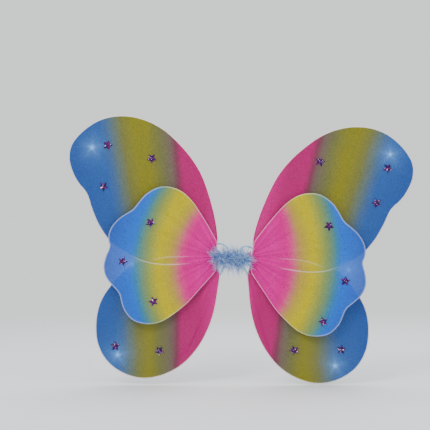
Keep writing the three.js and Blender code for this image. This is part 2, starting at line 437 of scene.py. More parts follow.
@dataclass(frozen=True)
class SheerNylon:
    """The finish of one wing's cover: dyed knitted nylon, gathered at its root and at its knot."""

    name: str
    cloth: Cloth
    bands: Bands
    gather: tuple[float, float]
    wires_behind: tuple[np.ndarray, ...] = ()
    pale: Colour = linear("7fbcff")
    edge: Colour = linear("fff6ee")

    RAMP_REACH = 60.0
    DYE_WANDER = 5.0
    MIDDLE_SEAM = (-34.0, -20.0)
    GRAIN_SIZE = 1.6
    CLOUD_SIZE = 26.0
    BURST_WAVES = ((29.0, 1.3), (47.0, 0.4), (5.0, 2.0))
    BURST_REACH = 9.0
    HEART_SPREAD = 9.0
    ROOT_WAVES = ((26.0, 0.0), (43.0, 1.0), (11.0, 2.2))
    ROOT_REACH = 40.0
    KNIT_PITCH = 1.5
    WIRE_PALENESS = (0.42, 0.22)
    WIRE_SPREAD = 0.45
    WIRE_SPAN = (-60.0, 190.0)
    WIRE_FADE_IN = (15.0, 45.0)
    WIRE_FADE_OUT = 22.0
    RELIEF = 0.5 * MM
    RELIEF_STRENGTH = 0.8

    def material(self) -> bpy.types.Material:
        """Builds the material.

        The mesh's "cut" coordinates are the place on the wing, in millimetres outward and upward
        from the root, and its "rim" number is 1 where the nylon is rolled over the wire.

        Returns:
            The material.
        """
        shader = Shader(self.name, 0.5, Sheen_Weight=0.05, Sheen_Roughness=0.4, Specular_IOR_Level=0.12)
        out, up, _ = shader.split(shader.map("cut"))
        grain = shader.noise(shader.coordinates(), self.GRAIN_SIZE, 1.0)
        cloud = shader.noise(shader.coordinates(), self.CLOUD_SIZE)
        rim = shader.attribute("rim")
        streaks, heart = self._starburst(out, up)
        folds = self._root_folds(out, up)
        knit = self._knit(out, up)

        # Partly painted highlight: the pleats at the gather knot turn the dye pale, partly for the bunched
        # nylon and partly as a highlight on them.
        colour = shader.mix(streaks, self._dyed(shader, out, up, cloud), self.pale)
        # Painted show-through: the back wings' wires are painted as pale lines on a front wing, standing in
        # for the light of the wires seen through the nylon.
        for points, paleness in zip(self.wires_behind, self.WIRE_PALENESS):
            colour = shader.mix(self._wire_line(shader, out, up, points) * paleness, colour, self.edge)
        colour = shader.mix(rim.ramp_up(0.25, 1.0) * self.cloth.rim_white, colour, self.edge)
        # Painted shade and highlight: the root folds darken and lighten the dye by the cloth's pleat
        # strength; grain, cloud and knit are the nylon's own mottle.
        shade = 0.55 + 0.72 * grain + 0.14 * cloud + self.cloth.pleat * folds + 0.06 * knit
        shader.colour(shader.scaled(colour, shade))

        sheer = self.cloth.cover - 0.05 * knit + 0.05 * (cloud - 0.5) + 0.10 * folds
        alpha = (sheer + 0.3 * heart + 0.12 * streaks + rim).clamp()
        shader.feed(shader.surface.inputs["Alpha"], alpha)
        shader.roughness(0.62 - 0.18 * rim - 0.1 * grain)
        relief = 0.5 + 0.12 * knit + 0.25 * folds + 0.35 * streaks + 0.15 * grain
        shader.bump(relief, self.RELIEF, self.RELIEF_STRENGTH)
        return shader.material

    def _dyed(self, shader: Shader, out: Scalar, up: Scalar, cloud: Scalar) -> bpy.types.NodeSocket:
        """Gives the dyed colour at a place on the wing.

        Args:
            shader: the shader that it belongs to.
            out: millimetres outward from the root.
            up: millimetres upward from the root.
            cloud: a broad noise, by which the band edges wander.

        Returns:
            The colour.
        """
        bands, span = self.bands, 2.0 * self.RAMP_REACH
        centred = up - bands.bow_centre
        square = centred * centred
        wander = self.DYE_WANDER * (cloud - 0.5)
        from_pink = out - up * bands.pink_lean + square * bands.pink_bow - bands.pink_end + wander
        from_blue = out - up * bands.blue_lean + square * bands.blue_bow - bands.blue_start + wander
        inner, outer = (
            shader.ramp(place / span + 0.5, [(0.5 + at / span, tone) for at, tone in stops])
            for place, stops in ((from_pink, self.cloth.inner), (from_blue, self.cloth.outer))
        )
        return shader.mix(from_blue.ramp_up(*self.MIDDLE_SEAM), inner, outer)

    def _wire_line(self, shader: Shader, out: Scalar, up: Scalar, points: np.ndarray) -> Scalar:
        """Gives the pale line, a painted show-through, where a wire behind the nylon would be seen through
        it.

        Args:
            shader: the shader that it belongs to.
            out: millimetres outward from the root.
            up: millimetres upward from the root.
            points: the wire's run, in the same millimetres.

        Returns:
            A number that is 1 on the line and 0 away from it.
        """
        gap = up - shader.curve(out, points, *self.WIRE_SPAN)
        start, end = float(points[0, 0]), float(points[-1, 0])
        near, far = self.WIRE_FADE_IN
        seen = out.ramp_up(start + near, start + far) * out.ramp_up(end, end - self.WIRE_FADE_OUT)
        return (-(gap * gap) / self.WIRE_SPREAD).exp() * seen

    def _starburst(self, out: Scalar, up: Scalar) -> tuple[Scalar, Scalar]:
        """Gives the pale pleats that run to the gather knot; their paleness is partly the denser bunched
        nylon and partly a painted highlight on the pleats.

        Args:
            out: millimetres outward from the root.
            up: millimetres upward from the root.

        Returns:
            The pleats and their heart, each from 0 to 1.
        """
        across, along = out - self.gather[0], up - self.gather[1]
        reach = across.hypot(along)
        beat = across.math("ARCTAN2", along).waves(self.BURST_WAVES)
        rays = ((beat - 0.2) / 1.8).clamp()
        fade = (-reach / self.BURST_REACH).exp()
        heart = (-(reach * reach) / self.HEART_SPREAD).exp()
        glow = 0.42 * rays * fade + 0.4 * fade + 0.5 * heart
        return (glow * self.cloth.burst).clamp(), heart * self.cloth.burst

    def _root_folds(self, out: Scalar, up: Scalar) -> Scalar:
        """Gives the folds that fan out from the root, from about -1 to 1; the colour takes them as painted
        shade and highlight.
        """
        beat = up.math("ARCTAN2", out).waves(self.ROOT_WAVES)
        return beat * 0.45 * (-out.hypot(up) / self.ROOT_REACH).exp()

    def _knit(self, out: Scalar, up: Scalar) -> Scalar:
        """Gives the diamond mesh of the knit, from -1 to 1."""
        turn = 2.0 * math.pi / self.KNIT_PITCH
        return ((out + up) * turn).sin() * ((out - up) * turn).sin()


@dataclass(frozen=True)
class PlainFinish:
    """A finish with a fine grain in its colour, roughness and relief."""

    name: str
    base: Colour
    fleck: Colour
    roughness: float
    grain: float
    relief: float
    metallic: float = 0.0
    sheen: float = 0.0

    def material(self) -> bpy.types.Material:
        """Builds the material.

        Returns:
            The material.
        """
        shader = Shader(self.name, self.roughness, Metallic=self.metallic, Sheen_Weight=self.sheen)
        place = shader.coordinates()
        fine = shader.noise(place, self.grain, 3.0)
        broad = shader.noise(place, 9.0 * self.grain, 2.0)
        mottle = (0.55 * fine + 0.6 * broad).ramp_up(0.35, 0.85)
        shader.colour(shader.mix(mottle, self.base, self.fleck))
        shader.roughness(self.roughness - 0.12 + 0.24 * fine)
        shader.bump(fine, self.relief * MM)
        return shader.material


@dataclass(frozen=True)
class GemPlastic:
    """Dark violet faceted acrylic over a magenta foil, with painted light: a few facets are painted pale as
    highlights, and the facet tones are partly painted reflections.
    """

    name: str = "star_gem"
    deep: Colour = linear("180228")
    violet: Colour = linear("3c0662")
    magenta: Colour = linear("7c0a70")
    painted_glint: Colour = linear("f2d6f4")

    GEM_SPACING = 19.0
    COLOUR_TURNS = 3.1
    SPECK_SIZE = 0.5

    def material(self) -> bpy.types.Material:
        """Builds the material; the mesh's "facet" number picks each facet's colour, painted glints
        included.

        Returns:
            The material.
        """
        shader = Shader(self.name, 0.12, Specular_IOR_Level=0.14, Coat_Weight=0.03, Coat_Roughness=0.05)
        place = shader.coordinates()
        turn = shader.noise(place, self.GEM_SPACING, 1.0) * self.COLOUR_TURNS
        facet = (shader.attribute("facet") + turn).math("FRACT")
        speck = shader.noise(place, self.SPECK_SIZE)
        # Painted highlight and reflection: the facet number picks foil tones that partly stand in for
        # reflections, and a painted pale glint on a few facets.
        colour = shader.ramp(facet, [
            (0.0, self.deep), (0.35, self.violet), (0.60, self.deep), (0.78, self.magenta),
            (0.92, self.violet), (0.935, self.painted_glint), (0.96, self.painted_glint), (0.975, self.deep),
        ])
        shader.colour(colour)
        shader.roughness(0.08 + 0.14 * speck)
        return shader.material


@dataclass(frozen=True)
class MarabouDown:
    """Dyed down: deeper blue at the quill, pale at the tips, with lighter and darker tufts."""

    name: str = "marabou"
    deep: Colour = linear("2449a4")
    body: Colour = linear("5c8ae0")
    aqua: Colour = linear("5eb2f0")
    tip: Colour = linear("c6defc")

    TUFT_SIZE = 7.0
    HUE_SPAN = 60.0

    def material(self) -> bpy.types.Material:
        """Builds the material; the mesh's "tip" number is 1 at a hair's end, and "tone" is a plume's own.

        Returns:
            The material.
        """
        shader = Shader(self.name, 0.8, Sheen_Weight=0.1, Specular_IOR_Level=0.1)
        place = shader.coordinates()
        tip = shader.attribute("tip")
        tuft = shader.noise(place, self.TUFT_SIZE)
        tone = shader.attribute("tone")
        across, _, _ = shader.split(place)
        hue = (across / self.HUE_SPAN + 0.35 + 0.5 * (tuft - 0.5)).clamp()
        body = shader.mix(hue, self.body, self.aqua)
        body = shader.mix((1.0 - 2.2 * tip - 1.1 * (tuft - 0.4)).clamp(), body, self.deep)
        body = shader.mix(tone.ramp_up(0.45, 0.1) * 0.7, body, self.deep)
        colour = shader.mix(tone.ramp_up(0.62, 0.95) * (0.5 + 0.5 * tip) + 0.15 * tip, body, self.tip)
        shader.colour(colour)
        return shader.material


@dataclass(frozen=True)
class BraidedElastic:
    """Pale round elastic with a braided cover, painted darker in the braid's grooves as shade."""

    name: str = "braided_elastic"
    base: Colour = linear("a8dcee")
    groove_shade: Colour = linear("5aa4c4")
    pitch: float = 1.6
    strands: float = 8.0
    relief: float = 0.12
    fuzz: float = 0.35

    def material(self) -> bpy.types.Material:
        """Builds the material from the mesh's "lay" coordinates: length in mm, and turns round.

        Returns:
            The material.
        """
        shader = Shader(self.name, 0.62, Sheen_Weight=0.3)
        along, turn, _ = shader.split(shader.map("lay"))
        forward = along * (2.0 * math.pi / self.pitch)
        round_it = turn * (math.pi * self.strands)
        weave = 0.5 + 0.25 * (forward + round_it).sin() + 0.25 * (forward - round_it).sin()
        fuzz = shader.noise(shader.coordinates(), self.fuzz)
        # Painted shade: the braid's grooves take the darker colour, where shade falls between the strands.
        shader.colour(shader.mix(weave.ramp_up(0.1, 0.7) * (0.8 + 0.2 * fuzz), self.groove_shade, self.base))
        shader.bump(weave, self.relief * MM)
        return shader.material


# ------------------------------------------------------------------------------- mesh building
def centre_and_half(node: str) -> tuple[np.ndarray, np.ndarray]:
    """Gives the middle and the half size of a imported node's box."""
    low, high = (np.array(corner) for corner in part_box(node))
    return (low + high) / 2, (high - low) / 2


def circle(count: int) -> np.ndarray:
    """Gives count angles at even steps round a circle."""
    return np.arange(count) * (2 * math.pi / count)


def show(made: bpy.types.Object) -> bpy.types.Object:
    """Puts an object in the scene and gives it back."""
    bpy.context.scene.collection.objects.link(made)
    return made


def piece(name: str, vertices: np.ndarray, faces: Sequence[Sequence[int]],
          material: bpy.types.Material, smooth: bool = True) -> bpy.types.Object:
    """Makes a mesh object at the origin, with its faces pointing out.

    Args:
        name: the piece's name.
        vertices: its corners, in metres.
        faces: corner numbers, face by face.
        material: its finish.
        smooth: whether it is shaded smooth.

    Returns:
        The object.
    """
    mesh = bpy.data.meshes.new(name)
    mesh.from_pydata(np.asarray(vertices).tolist(), [], [list(face) for face in faces])
    if signed_volume(mesh) < 0:
        mesh.flip_normals()
    mesh.polygons.foreach_set("use_smooth", [smooth] * len(mesh.polygons))
    mesh.materials.append(material)
    return show(bpy.data.objects.new(name, mesh))


def signed_volume(mesh: bpy.types.Mesh) -> float:
    """Gives the volume that a mesh encloses.

    Args:
        mesh: a closed mesh.

    Returns:
        Six times its volume, negative if its faces point in.
    """
    mesh.calc_loop_triangles()
    corners = np.empty(len(mesh.vertices) * 3)
    mesh.vertices.foreach_get("co", corners)
    numbers = np.empty(len(mesh.loop_triangles) * 3, dtype=int)
    mesh.loop_triangles.foreach_get("vertices", numbers)
    a, b, c = corners.reshape(-1, 3)[numbers.reshape(-1, 3)].transpose(1, 0, 2)
    return float(np.einsum("ij,ij->", a, np.cross(b, c)))


def store(made: bpy.types.Object, name: str, values: np.ndarray) -> None:
    """Stores one number for each vertex under a name."""
    attribute = made.data.attributes.new(name, "FLOAT", "POINT")
    attribute.data.foreach_set("value", np.asarray(values, dtype=np.float32))


def store_map(made: bpy.types.Object, name: str, per_vertex: np.ndarray) -> None:
    """Stores a coordinate pair for each vertex as a UV map.

    Args:
        made: the piece.
        name: the map's name.
        per_vertex: the pairs.
    """
    numbers = np.empty(len(made.data.loops), dtype=int)
    made.data.loops.foreach_get("vertex_index", numbers)
    layer = made.data.uv_layers.new(name=name)
    layer.data.foreach_set("uv", np.asarray(per_vertex)[numbers].astype(np.float32).ravel())


def grid_faces(rows: int, columns: int, first: int = 0) -> Faces:
    """Gives the quads between rows of vertices that each close on themselves.

    Args:
        rows: how many rows there are.
        columns: how many vertices a row has.
        first: the number of the first vertex.

    Returns:
        The corner numbers of each quad.
    """
    faces: Faces = []
    for row in range(rows - 1):
        for column in range(columns):
            after = (column + 1) % columns
            low, high = first + row * columns, first + (row + 1) * columns
            faces.append((low + column, low + after, high + after, high + column))
    return faces


def capped_faces(rows: int, columns: int) -> Faces:
    """Gives the quads between closed rows of vertices, and one face over each end."""
    caps = [tuple(range(columns))[::-1], tuple(range((rows - 1) * columns, rows * columns))]
    return grid_faces(rows, columns) + caps


def catmull_rom(points: Sequence[Sequence[float]], count: int) -> np.ndarray:
    """Gives points at even steps along a centripetal Catmull-Rom curve through the given ones.

    Args:
        points: the curve's own points.
        count: how many points to give.

    Returns:
        An array of count points.
    """
    given = np.asarray(points, dtype=float)
    line = np.vstack([2 * given[0] - given[1], given, 2 * given[-1] - given[-2]])
    share = np.linspace(0, 1, STEPS_BETWEEN, endpoint=False)[:, None]
    runs = []
    for before, start, end, after in zip(line, line[1:], line[2:], line[3:]):
        spans = ((before, start), (start, end), (end, after))
        gaps = [math.sqrt(np.linalg.norm(q - p)) for p, q in spans]
        first, middle, last = (max(gap, 1e-6) for gap in gaps)
        leave = ((start - before) / first - (end - before) / (first + middle) + (end - start) / middle)
        arrive = ((end - start) / middle - (after - start) / (middle + last) + (after - end) / last)
        leave, arrive = leave * middle, arrive * middle
        square, cube = share ** 2, share ** 3
        runs.append(
            (2 * cube - 3 * square + 1) * start + (cube - 2 * square + share) * leave
            + (3 * square - 2 * cube) * end + (cube - square) * arrive
        )
    return even_steps(np.vstack([*runs, given[-1:]]), count)


def even_steps(line: np.ndarray, count: int) -> np.ndarray:
    """Gives points at even steps along a line of points.

    Args:
        line: the line's points.
        count: how many points to give.

    Returns:
        An array of count points.
    """
    along = np.concatenate([[0], np.cumsum(np.linalg.norm(np.diff(line, axis=0), axis=1))])
    wanted = np.linspace(0, along[-1], count)
    return np.stack([np.interp(wanted, along, line[:, axis]) for axis in range(line.shape[1])], axis=1)


def tube(name: str, line: np.ndarray, radius: Union[float, np.ndarray], sides: int,
         material: bpy.types.Material) -> bpy.types.Object:
    """Makes a round closed tube along a line of points.

    Args:
        name: the piece's name.
        line: the centreline's points, in metres.
        radius: the tube's radius, or one for each point.
        sides: the number of flats round it.
        material: its finish.

    Returns:
        The object, with a "lay" UV map of length in mm and turns round.
    """
    tangents = np.gradient(line, axis=0)
    tangents /= np.linalg.norm(tangents, axis=1)[:, None]
    normal = np.cross(tangents[0], (0.0, 1.0, 0.0))
    if np.linalg.norm(normal) < 1e-3:
        normal = np.cross(tangents[0], (1.0, 0.0, 0.0))
    radii = np.broadcast_to(radius, len(line))
    angles = circle(sides)
    rings, lays = [], []
    travelled = 0.0
    for index, (centre, tangent) in enumerate(zip(line, tangents)):
        normal = normal - tangent * normal.dot(tangent)
        normal /= np.linalg.norm(normal)
        other = np.cross(tangent, normal)
        spread = np.cos(angles)[:, None] * normal + np.sin(angles)[:, None] * other
        rings.append(centre + radii[index] * spread)
        travelled += 0.0 if index == 0 else float(np.linalg.norm(centre - line[index - 1]))
        turns = np.minimum(angles, 2 * math.pi - angles) / math.pi
        lays.append(np.stack([np.full(sides, travelled / MM), turns], axis=1))
    faces = grid_faces(len(line), sides)
    faces.append(tuple(range(sides)))
    faces.append(tuple(range((len(line) - 1) * sides, len(line) * sides))[::-1])
    made = piece(name, np.vstack(rings), [tuple(reversed(face)) for face in faces], material)
    store_map(made, "lay", np.vstack(lays))
    return made


class GeometryTree(Nodes):
    """A Geometry Nodes tree with named inputs, which ends in Realize Instances and Set Material."""

    def __init__(self, name: str, inputs: dict[str, tuple[str, object]]) -> None:
        """Makes the tree.

        Args:
            name: the tree's name.
            inputs: each input's socket type and value, by name, after the geometry itself.
        """
        super().__init__(bpy.data.node_groups.new(name, "GeometryNodeTree"))
        self.tree.interface.new_socket("Geometry", in_out="INPUT", socket_type="NodeSocketGeometry")
        self.tree.interface.new_socket("Geometry", in_out="OUTPUT", socket_type="NodeSocketGeometry")
        self.values = {}
        for label, (kind, value) in inputs.items():
            socket = self.tree.interface.new_socket(label, in_out="INPUT", socket_type=kind)
            self.values[socket.identifier] = value
        self.start = self.tree.nodes.new("NodeGroupInput")

    def given(self, label: str) -> bpy.types.NodeSocket:
        """Gives the output socket of one of the tree's own inputs."""
        return self.start.outputs[label]

    def close(self, instances: bpy.types.NodeSocket) -> None:
        """Ends the tree: the instances are made real and given the material input.

        Args:
            instances: the socket that gives them.
        """
        real = self.node("GeometryNodeRealizeInstances", {}, {0: instances})
        inputs = {"Geometry": real.outputs[0], "Material": self.given("Material")}
        dressed = self.node("GeometryNodeSetMaterial", {}, inputs)
        end = self.tree.nodes.new("NodeGroupOutput")
        self.tree.links.new(dressed.outputs[0], end.inputs[0])

    def grow(self, name: str, seed_object: bpy.types.Object) -> bpy.types.Object:
        """Runs the tree on an object and gives the result as a plain mesh object.

        Args:
            name: the new piece's name.
            seed_object: the object that the tree starts from, which is removed.

        Returns:
            The new piece, with no modifier.
        """
        modifier = seed_object.modifiers.new("grow", "NODES")
        modifier.node_group = self.tree
        for identifier, value in self.values.items():
            modifier[identifier] = value
        evaluated = seed_object.evaluated_get(bpy.context.evaluated_depsgraph_get())
        mesh = bpy.data.meshes.new_from_object(evaluated)
        mesh.name = name
        bpy.data.objects.remove(seed_object)
        return show(bpy.data.objects.new(name, mesh))


# ------------------------------------------------------------------------------- the wings
@dataclass
class WingPlane:
    """Where one wing lies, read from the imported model: the plane through its wire loop."""

    side: Side
    wing: Wing
    root: np.ndarray = field(init=False)
    outward: np.ndarray = field(init=False)
    forward: np.ndarray = field(init=False)
    outline: np.ndarray = field(init=False)

    WIRE_RADIUS = 0.8 * MM
    CLEARANCE = 0.3 * MM
    HUB_RADIUS = 3.5 * MM
    END_PITCH = 2.4 * MM
    WELD = 0.01 * MM
    FACING = 0.9

    @property
    def label(self) -> str:
        """The start of the names of this wing's nodes."""
        return f"{self.side.value}_{self.wing.value}"

    @property
    def body(self) -> str:
        """The body that this wing's pieces ride on."""
        return f"{self.label}_wing"

    def __post_init__(self) -> None:
        """Reads the plane and the outline from the cover's plate."""
        joints = {joint["name"]: joint for joint in frame["joints"]}
        hinge = np.array(joints[f"{self.side.value}_wing_bend"]["pos_m"])
        mesh = frame["nodes"][f"{self.label}_nylon"].data
        corners = np.array([vertex.co for vertex in mesh.vertices])
        middle = corners.mean(axis=0)
        normal = np.linalg.svd(corners - middle, full_matrices=False)[2][2]
        self.forward = normal if normal[1] < 0 else -normal
        outward = np.cross(self.forward, (0.0, 0.0, 1.0))
        outward /= np.linalg.norm(outward)
        self.outward = outward if outward[0] * self.side.sign > 0 else -outward
        self.root = hinge + self.forward * float((middle - hinge).dot(self.forward))
        self.outline = self._plate_outline(mesh)

    def flat(self, points: np.ndarray) -> np.ndarray:
        """Gives points in the wing's plane as distances outward and upward from its root."""
        moved = np.asarray(points) - self.root
        return np.stack([moved @ self.outward, moved[..., 2]], axis=-1)

    def place(self, flat: np.ndarray, depth: Union[float, np.ndarray]) -> np.ndarray:
        """Gives points of the frame.

        Args:
            flat: distances outward and upward from the root.
            depth: the distance behind the wing's plane, or one for each point.

        Returns:
            The points.
        """
        flat = np.asarray(flat)
        behind = np.broadcast_to(depth, flat.shape[:-1])[..., None]
        upward = np.array((0.0, 0.0, 1.0))
        return self.root + flat[..., :1] * self.outward + flat[..., 1:] * upward - behind * self.forward

    def _plate_outline(self, mesh: bpy.types.Mesh) -> np.ndarray:
        """Gives the front outline of the cover's plate.

        Args:
            mesh: the plate, as loose triangles.

        Returns:
            The corners from the root round the wing and back, outward and upward from the root.
        """
        numbers: dict[tuple, int] = {}
        places: list[Vector] = []
        following: dict[int, int] = {}
        edges = set()
        for polygon in mesh.polygons:
            if np.dot(polygon.normal, self.forward) < self.FACING:
                continue
            ids = []
            for vertex in polygon.vertices:
                corner = mesh.vertices[vertex].co
                key = tuple(round(value / self.WELD) for value in corner)
                if key not in numbers:
                    numbers[key] = len(places)
                    places.append(corner.copy())
                ids.append(numbers[key])
            edges.update(zip(ids, ids[1:] + ids[:1]))
        for start, end in edges:
            if (end, start) not in edges:
                following[start] = end
        loop = [next(iter(sorted(following)))]
        while following[loop[-1]] != loop[0]:
            loop.append(following[loop[-1]])
        flat = self.flat(np.array([places[number] for number in loop]))
        middles = (flat + np.roll(flat, -1, axis=0)) / 2
        gap = int(np.argmin(np.linalg.norm(middles, axis=1)))
        return np.roll(flat, -gap - 1, axis=0)

    def wire_line(self, count: int) -> np.ndarray:
        """Gives the wire's centreline.

        Args:
            count: how many points to give.

        Returns:
            The points, outward and upward from the root.
        """
        before, after = self.outline[:-2], self.outline[2:]
        along = (after - before) / np.linalg.norm(after - before, axis=1)[:, None]
        turned = np.stack([along[:, 1], -along[:, 0]], axis=1)
        inner = self.outline[1:-1]
        area = np.cross(self.outline, np.roll(self.outline, -1, axis=0)).sum()
        rings = inner + turned * (np.sign(area) * (self.WIRE_RADIUS + self.CLEARANCE))
        reach = self.HUB_RADIUS + self.CLEARANCE
        lift = self.END_PITCH / 2 * (1 if rings[0, 1] > rings[-1, 1] else -1)
        step = 2 * self.WIRE_RADIUS
        first = np.array([[reach, lift], [reach + step, lift]])
        last = np.array([[reach + step, -lift], [reach, -lift]])
        return catmull_rom(np.vstack([first, rings, last]), count)


@dataclass
class WingCover:
    """One wing's wire and the nylon bag that is drawn over it."""

    plane: WingPlane
    bands: Bands
    cloth: Cloth
    droop: float
    flat_size: tuple[float, float]
    flat_area: float
    wire_finish: bpy.types.Material
    thread_finish: bpy.types.Material

    SPOKES = 300
    RINGS = 28
    ROLL_STEPS = 7
    ROLL_RADIUS = 1.05 * MM
    SLACK_DEPTH = 0.38 * MM
    NECK = 1.1 * MM
    ROOT_BEND = 12.0 * MM
    HEART_LIFT = {Wing.UPPER: 6.0 * MM, Wing.LOWER: -6.0 * MM, Wing.FRONT: 0.0}
    HEART_REACH = 4.0
    WIRE_SIDES = 8
    RIM_WIDTH = 0.9 * MM
    EDGE_FALL = 9 * MM
    EDGE_HOLD = 4 * MM
    FOLD_DEPTH = 0.28 * MM
    FOLD_REACH = 34 * MM
    PLEAT_DEPTH = 0.22 * MM
    PLEAT_REACH = 14 * MM
    CONE_HEIGHT = 2.0 * MM
    CONE_WIDTH = 2.4 * MM
    CONE_TIP = 2.2 * MM
    WHIP_START = 1.25 * MM
    WHIP_CLIMB = 1.3 * MM
    WHIP_TURNS = 4
    WHIP_STEPS = 18
    WHIP_RADIUS = 0.2 * MM
    FRILL_AROUND = 60
    FRILL_ROWS = 7
    FRILL_LENGTH = 1.9 * MM
    FRILL_WALL = 0.14 * MM
    BEHIND_STEPS = 400
    BEHIND_SKIP = 12
    BEHIND_POINTS = 11
    BEHIND_REACH = 0.62

    def build(self) -> None:
        """Builds the wire, the bag and its gather knot, and puts them on the wing's body."""
        label = self.plane.label
        line = self.plane.wire_line(self.SPOKES)
        wire = tube(f"{label}_steel_wire", self.plane.place(line, 0.0), self.plane.WIRE_RADIUS,
                    self.WIRE_SIDES, self.wire_finish)
        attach(wire, self.plane.body)
        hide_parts(f"{label}_wire")

        gather = self._gather_place()
        bag = self._bag(line, gather)
        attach(bag, self.plane.body)
        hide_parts(f"{label}_nylon")

        frill, whipping = self._gather_knot(gather, bag.data.materials[0])
        for made, slot in ((frill, f"{self.plane.wing.value}_nylon"), (whipping, "thread")):
            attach(made, self.plane.body)
        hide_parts(f"{label}_gather_knot")
        log.info("%s: wire, bag and gather knot", label)

    def _gather_place(self) -> np.ndarray:
        """Gives the gather knot's place in the wing's plane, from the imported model."""
        return self.plane.flat(centre_and_half(f"{self.plane.label}_gather_knot")[0])

    def _undroop(self, flat: np.ndarray) -> np.ndarray:
        """Turns places on the wing back to before it drooped, as its dye follows them.

        Args:
            flat: distances outward and upward from the root, in metres.

        Returns:
            The same before the droop, in millimetres.
        """
        turn = math.radians(self.droop)
        out, up = flat[..., 0], flat[..., 1]
        turned = [out * math.cos(turn) - up * math.sin(turn), out * math.sin(turn) + up * math.cos(turn)]
        return np.stack(turned, axis=-1) / MM

    def _bag(self, line: np.ndarray, gather: np.ndarray) -> bpy.types.Object:
        """Makes the bag: a front layer, a roll over the wire and a rear layer, in one closed mesh.

        Args:
            line: the wire's centreline.
            gather: the gather knot's place.

        Returns:
            The bag.
        """
        along = np.roll(line, -1, axis=0) - np.roll(line, 1, axis=0)
        along /= np.linalg.norm(along, axis=1)[:, None]
        area = np.cross(line, np.roll(line, -1, axis=0)).sum()
        out = np.stack([along[:, 1], -along[:, 0]], axis=1) * np.sign(area)
        heart = np.array((self.HEART_REACH * self.plane.HUB_RADIUS, self.HEART_LIFT[self.plane.wing]))
        fan = self._fan(line)
        flats, depths, rims = [], [], []

        def ring(flat: np.ndarray, depth: np.ndarray, rim: float) -> None:
            """Keeps one ring of vertices.

            Args:
                flat: their places in the wing's plane.
                depth: their depth behind it.
                rim: how far they belong to the roll over the wire.
            """
            flats.append(flat)
            depths.append(np.broadcast_to(depth, len(flat)))
            rims.append(np.full(len(flat), rim))

        shares = 0.5 * (1 + np.cos(np.pi * np.arange(self.RINGS - 1, 0, -1) / self.RINGS))
        for share in shares:
            flat = heart + (line - heart) * share
            ring(flat, -self._front_depth(flat, line), self._rim(flat, line))
        for angle in np.linspace(-math.pi / 2, math.pi / 2, self.ROLL_STEPS):
            rolled = line + out * self.ROLL_RADIUS * math.cos(angle)
            ring(rolled, self.ROLL_RADIUS * math.sin(angle), 1.0)
        for share in shares[::-1]:
            flat = gather + (fan - gather) * share
            ring(flat, self._rear_depth(flat, line, gather), self._rim(flat, line))

        flat = np.vstack([*flats, heart[None], gather[None]])
        tip = self.SLACK_DEPTH + self.CONE_TIP
        depth = np.concatenate([*depths, [-self.SLACK_DEPTH], [tip]])
        rim = np.concatenate([*rims, [0.0], [0.0]])
        count, rows = len(line), len(flats)
        faces = grid_faces(rows, count)
        last = (rows - 1) * count
        for spoke in range(count):
            after = (spoke + 1) % count
            faces.append((after, spoke, rows * count))
            faces.append((last + spoke, last + after, rows * count + 1))
        label = self.plane.label
        finish = SheerNylon(f"{label}_nylon_dye", self.cloth, self.bands,
                            tuple(self._undroop(gather)), self._wires_behind()).material()
        made = piece(f"{label}_nylon_bag", self.plane.place(flat, depth), faces, finish)
        store(made, "rim", rim)
        store_map(made, "cut", self._undroop(flat))
        return made

    def _fan(self, line: np.ndarray) -> np.ndarray:
        """Straightens the wire's bent ends at the root, so no pleat folds over.

        Args:
            line: the wire's centreline.

        Returns:
            The straightened line.
        """
        fan = line.copy()
        middle = (line[0] + line[-1]) / 2
        for ends, turned in ((fan, line), (fan[::-1], line[::-1])):
            count = int(np.argmax(np.linalg.norm(turned - turned[0], axis=1) > self.ROOT_BEND))
            share = (np.arange(count)[:, None] + 0.5) / count
            ends[:count] = middle + (turned[count] - middle) * share
        return fan

    def _wires_behind(self) -> tuple[np.ndarray, ...]:
        """Gives the runs of the back wings' wires whose show-through is painted on a front wing.

        Returns:
            Each run's points in the dye's millimetres, or nothing for a back wing.
        """
        if self.plane.wing is not Wing.FRONT:
            return ()
        runs = []
        steps, skip = self.BEHIND_STEPS, self.BEHIND_SKIP
        middle, probe = steps // 2, steps // 8
        for wing, half in ((Wing.UPPER, -1), (Wing.LOWER, 1)):
            behind = WingPlane(self.plane.side, wing)
            line = self.plane.flat(behind.place(behind.wire_line(steps), 0.0))
            first_half = line[probe, 1] * half > line[steps - probe, 1] * half
            run = self._undroop(line[:middle] if first_half else line[middle:][::-1])
            turn = int(np.argmax(run[:, 0] > self.BEHIND_REACH * run[:, 0].max()))
            runs.append(run[skip:turn][:: max(1, (turn - skip) // self.BEHIND_POINTS)])
        return tuple(runs)

    def _edge_distance(self, flat: np.ndarray, line: np.ndarray) -> np.ndarray:
        """Gives each point's distance from the nearest part of the wire."""
        return np.linalg.norm(flat[:, None] - line[None], axis=2).min(axis=1)

    def _rim(self, flat: np.ndarray, line: np.ndarray) -> np.ndarray:
        """Gives how far each point belongs to the roll over the wire, from 0 to 1."""
        return np.clip(1.05 - self._edge_distance(flat, line) / self.RIM_WIDTH, 0, 1)

    def _held(self, flat: np.ndarray, line: np.ndarray) -> np.ndarray:
        """Gives how free each point is of the wire, which holds the pleats flat, from 0 to 1."""
        return 1 - np.exp(-self._edge_distance(flat, line) / self.EDGE_HOLD)

    def _stretch_depth(self, flat: np.ndarray, line: np.ndarray) -> np.ndarray:
        """Gives a layer's distance from the wing's plane: it dips away from the wire."""
        fall = np.exp(-self._edge_distance(flat, line) / self.EDGE_FALL)
        return self.SLACK_DEPTH + (self.ROLL_RADIUS - self.SLACK_DEPTH) * fall

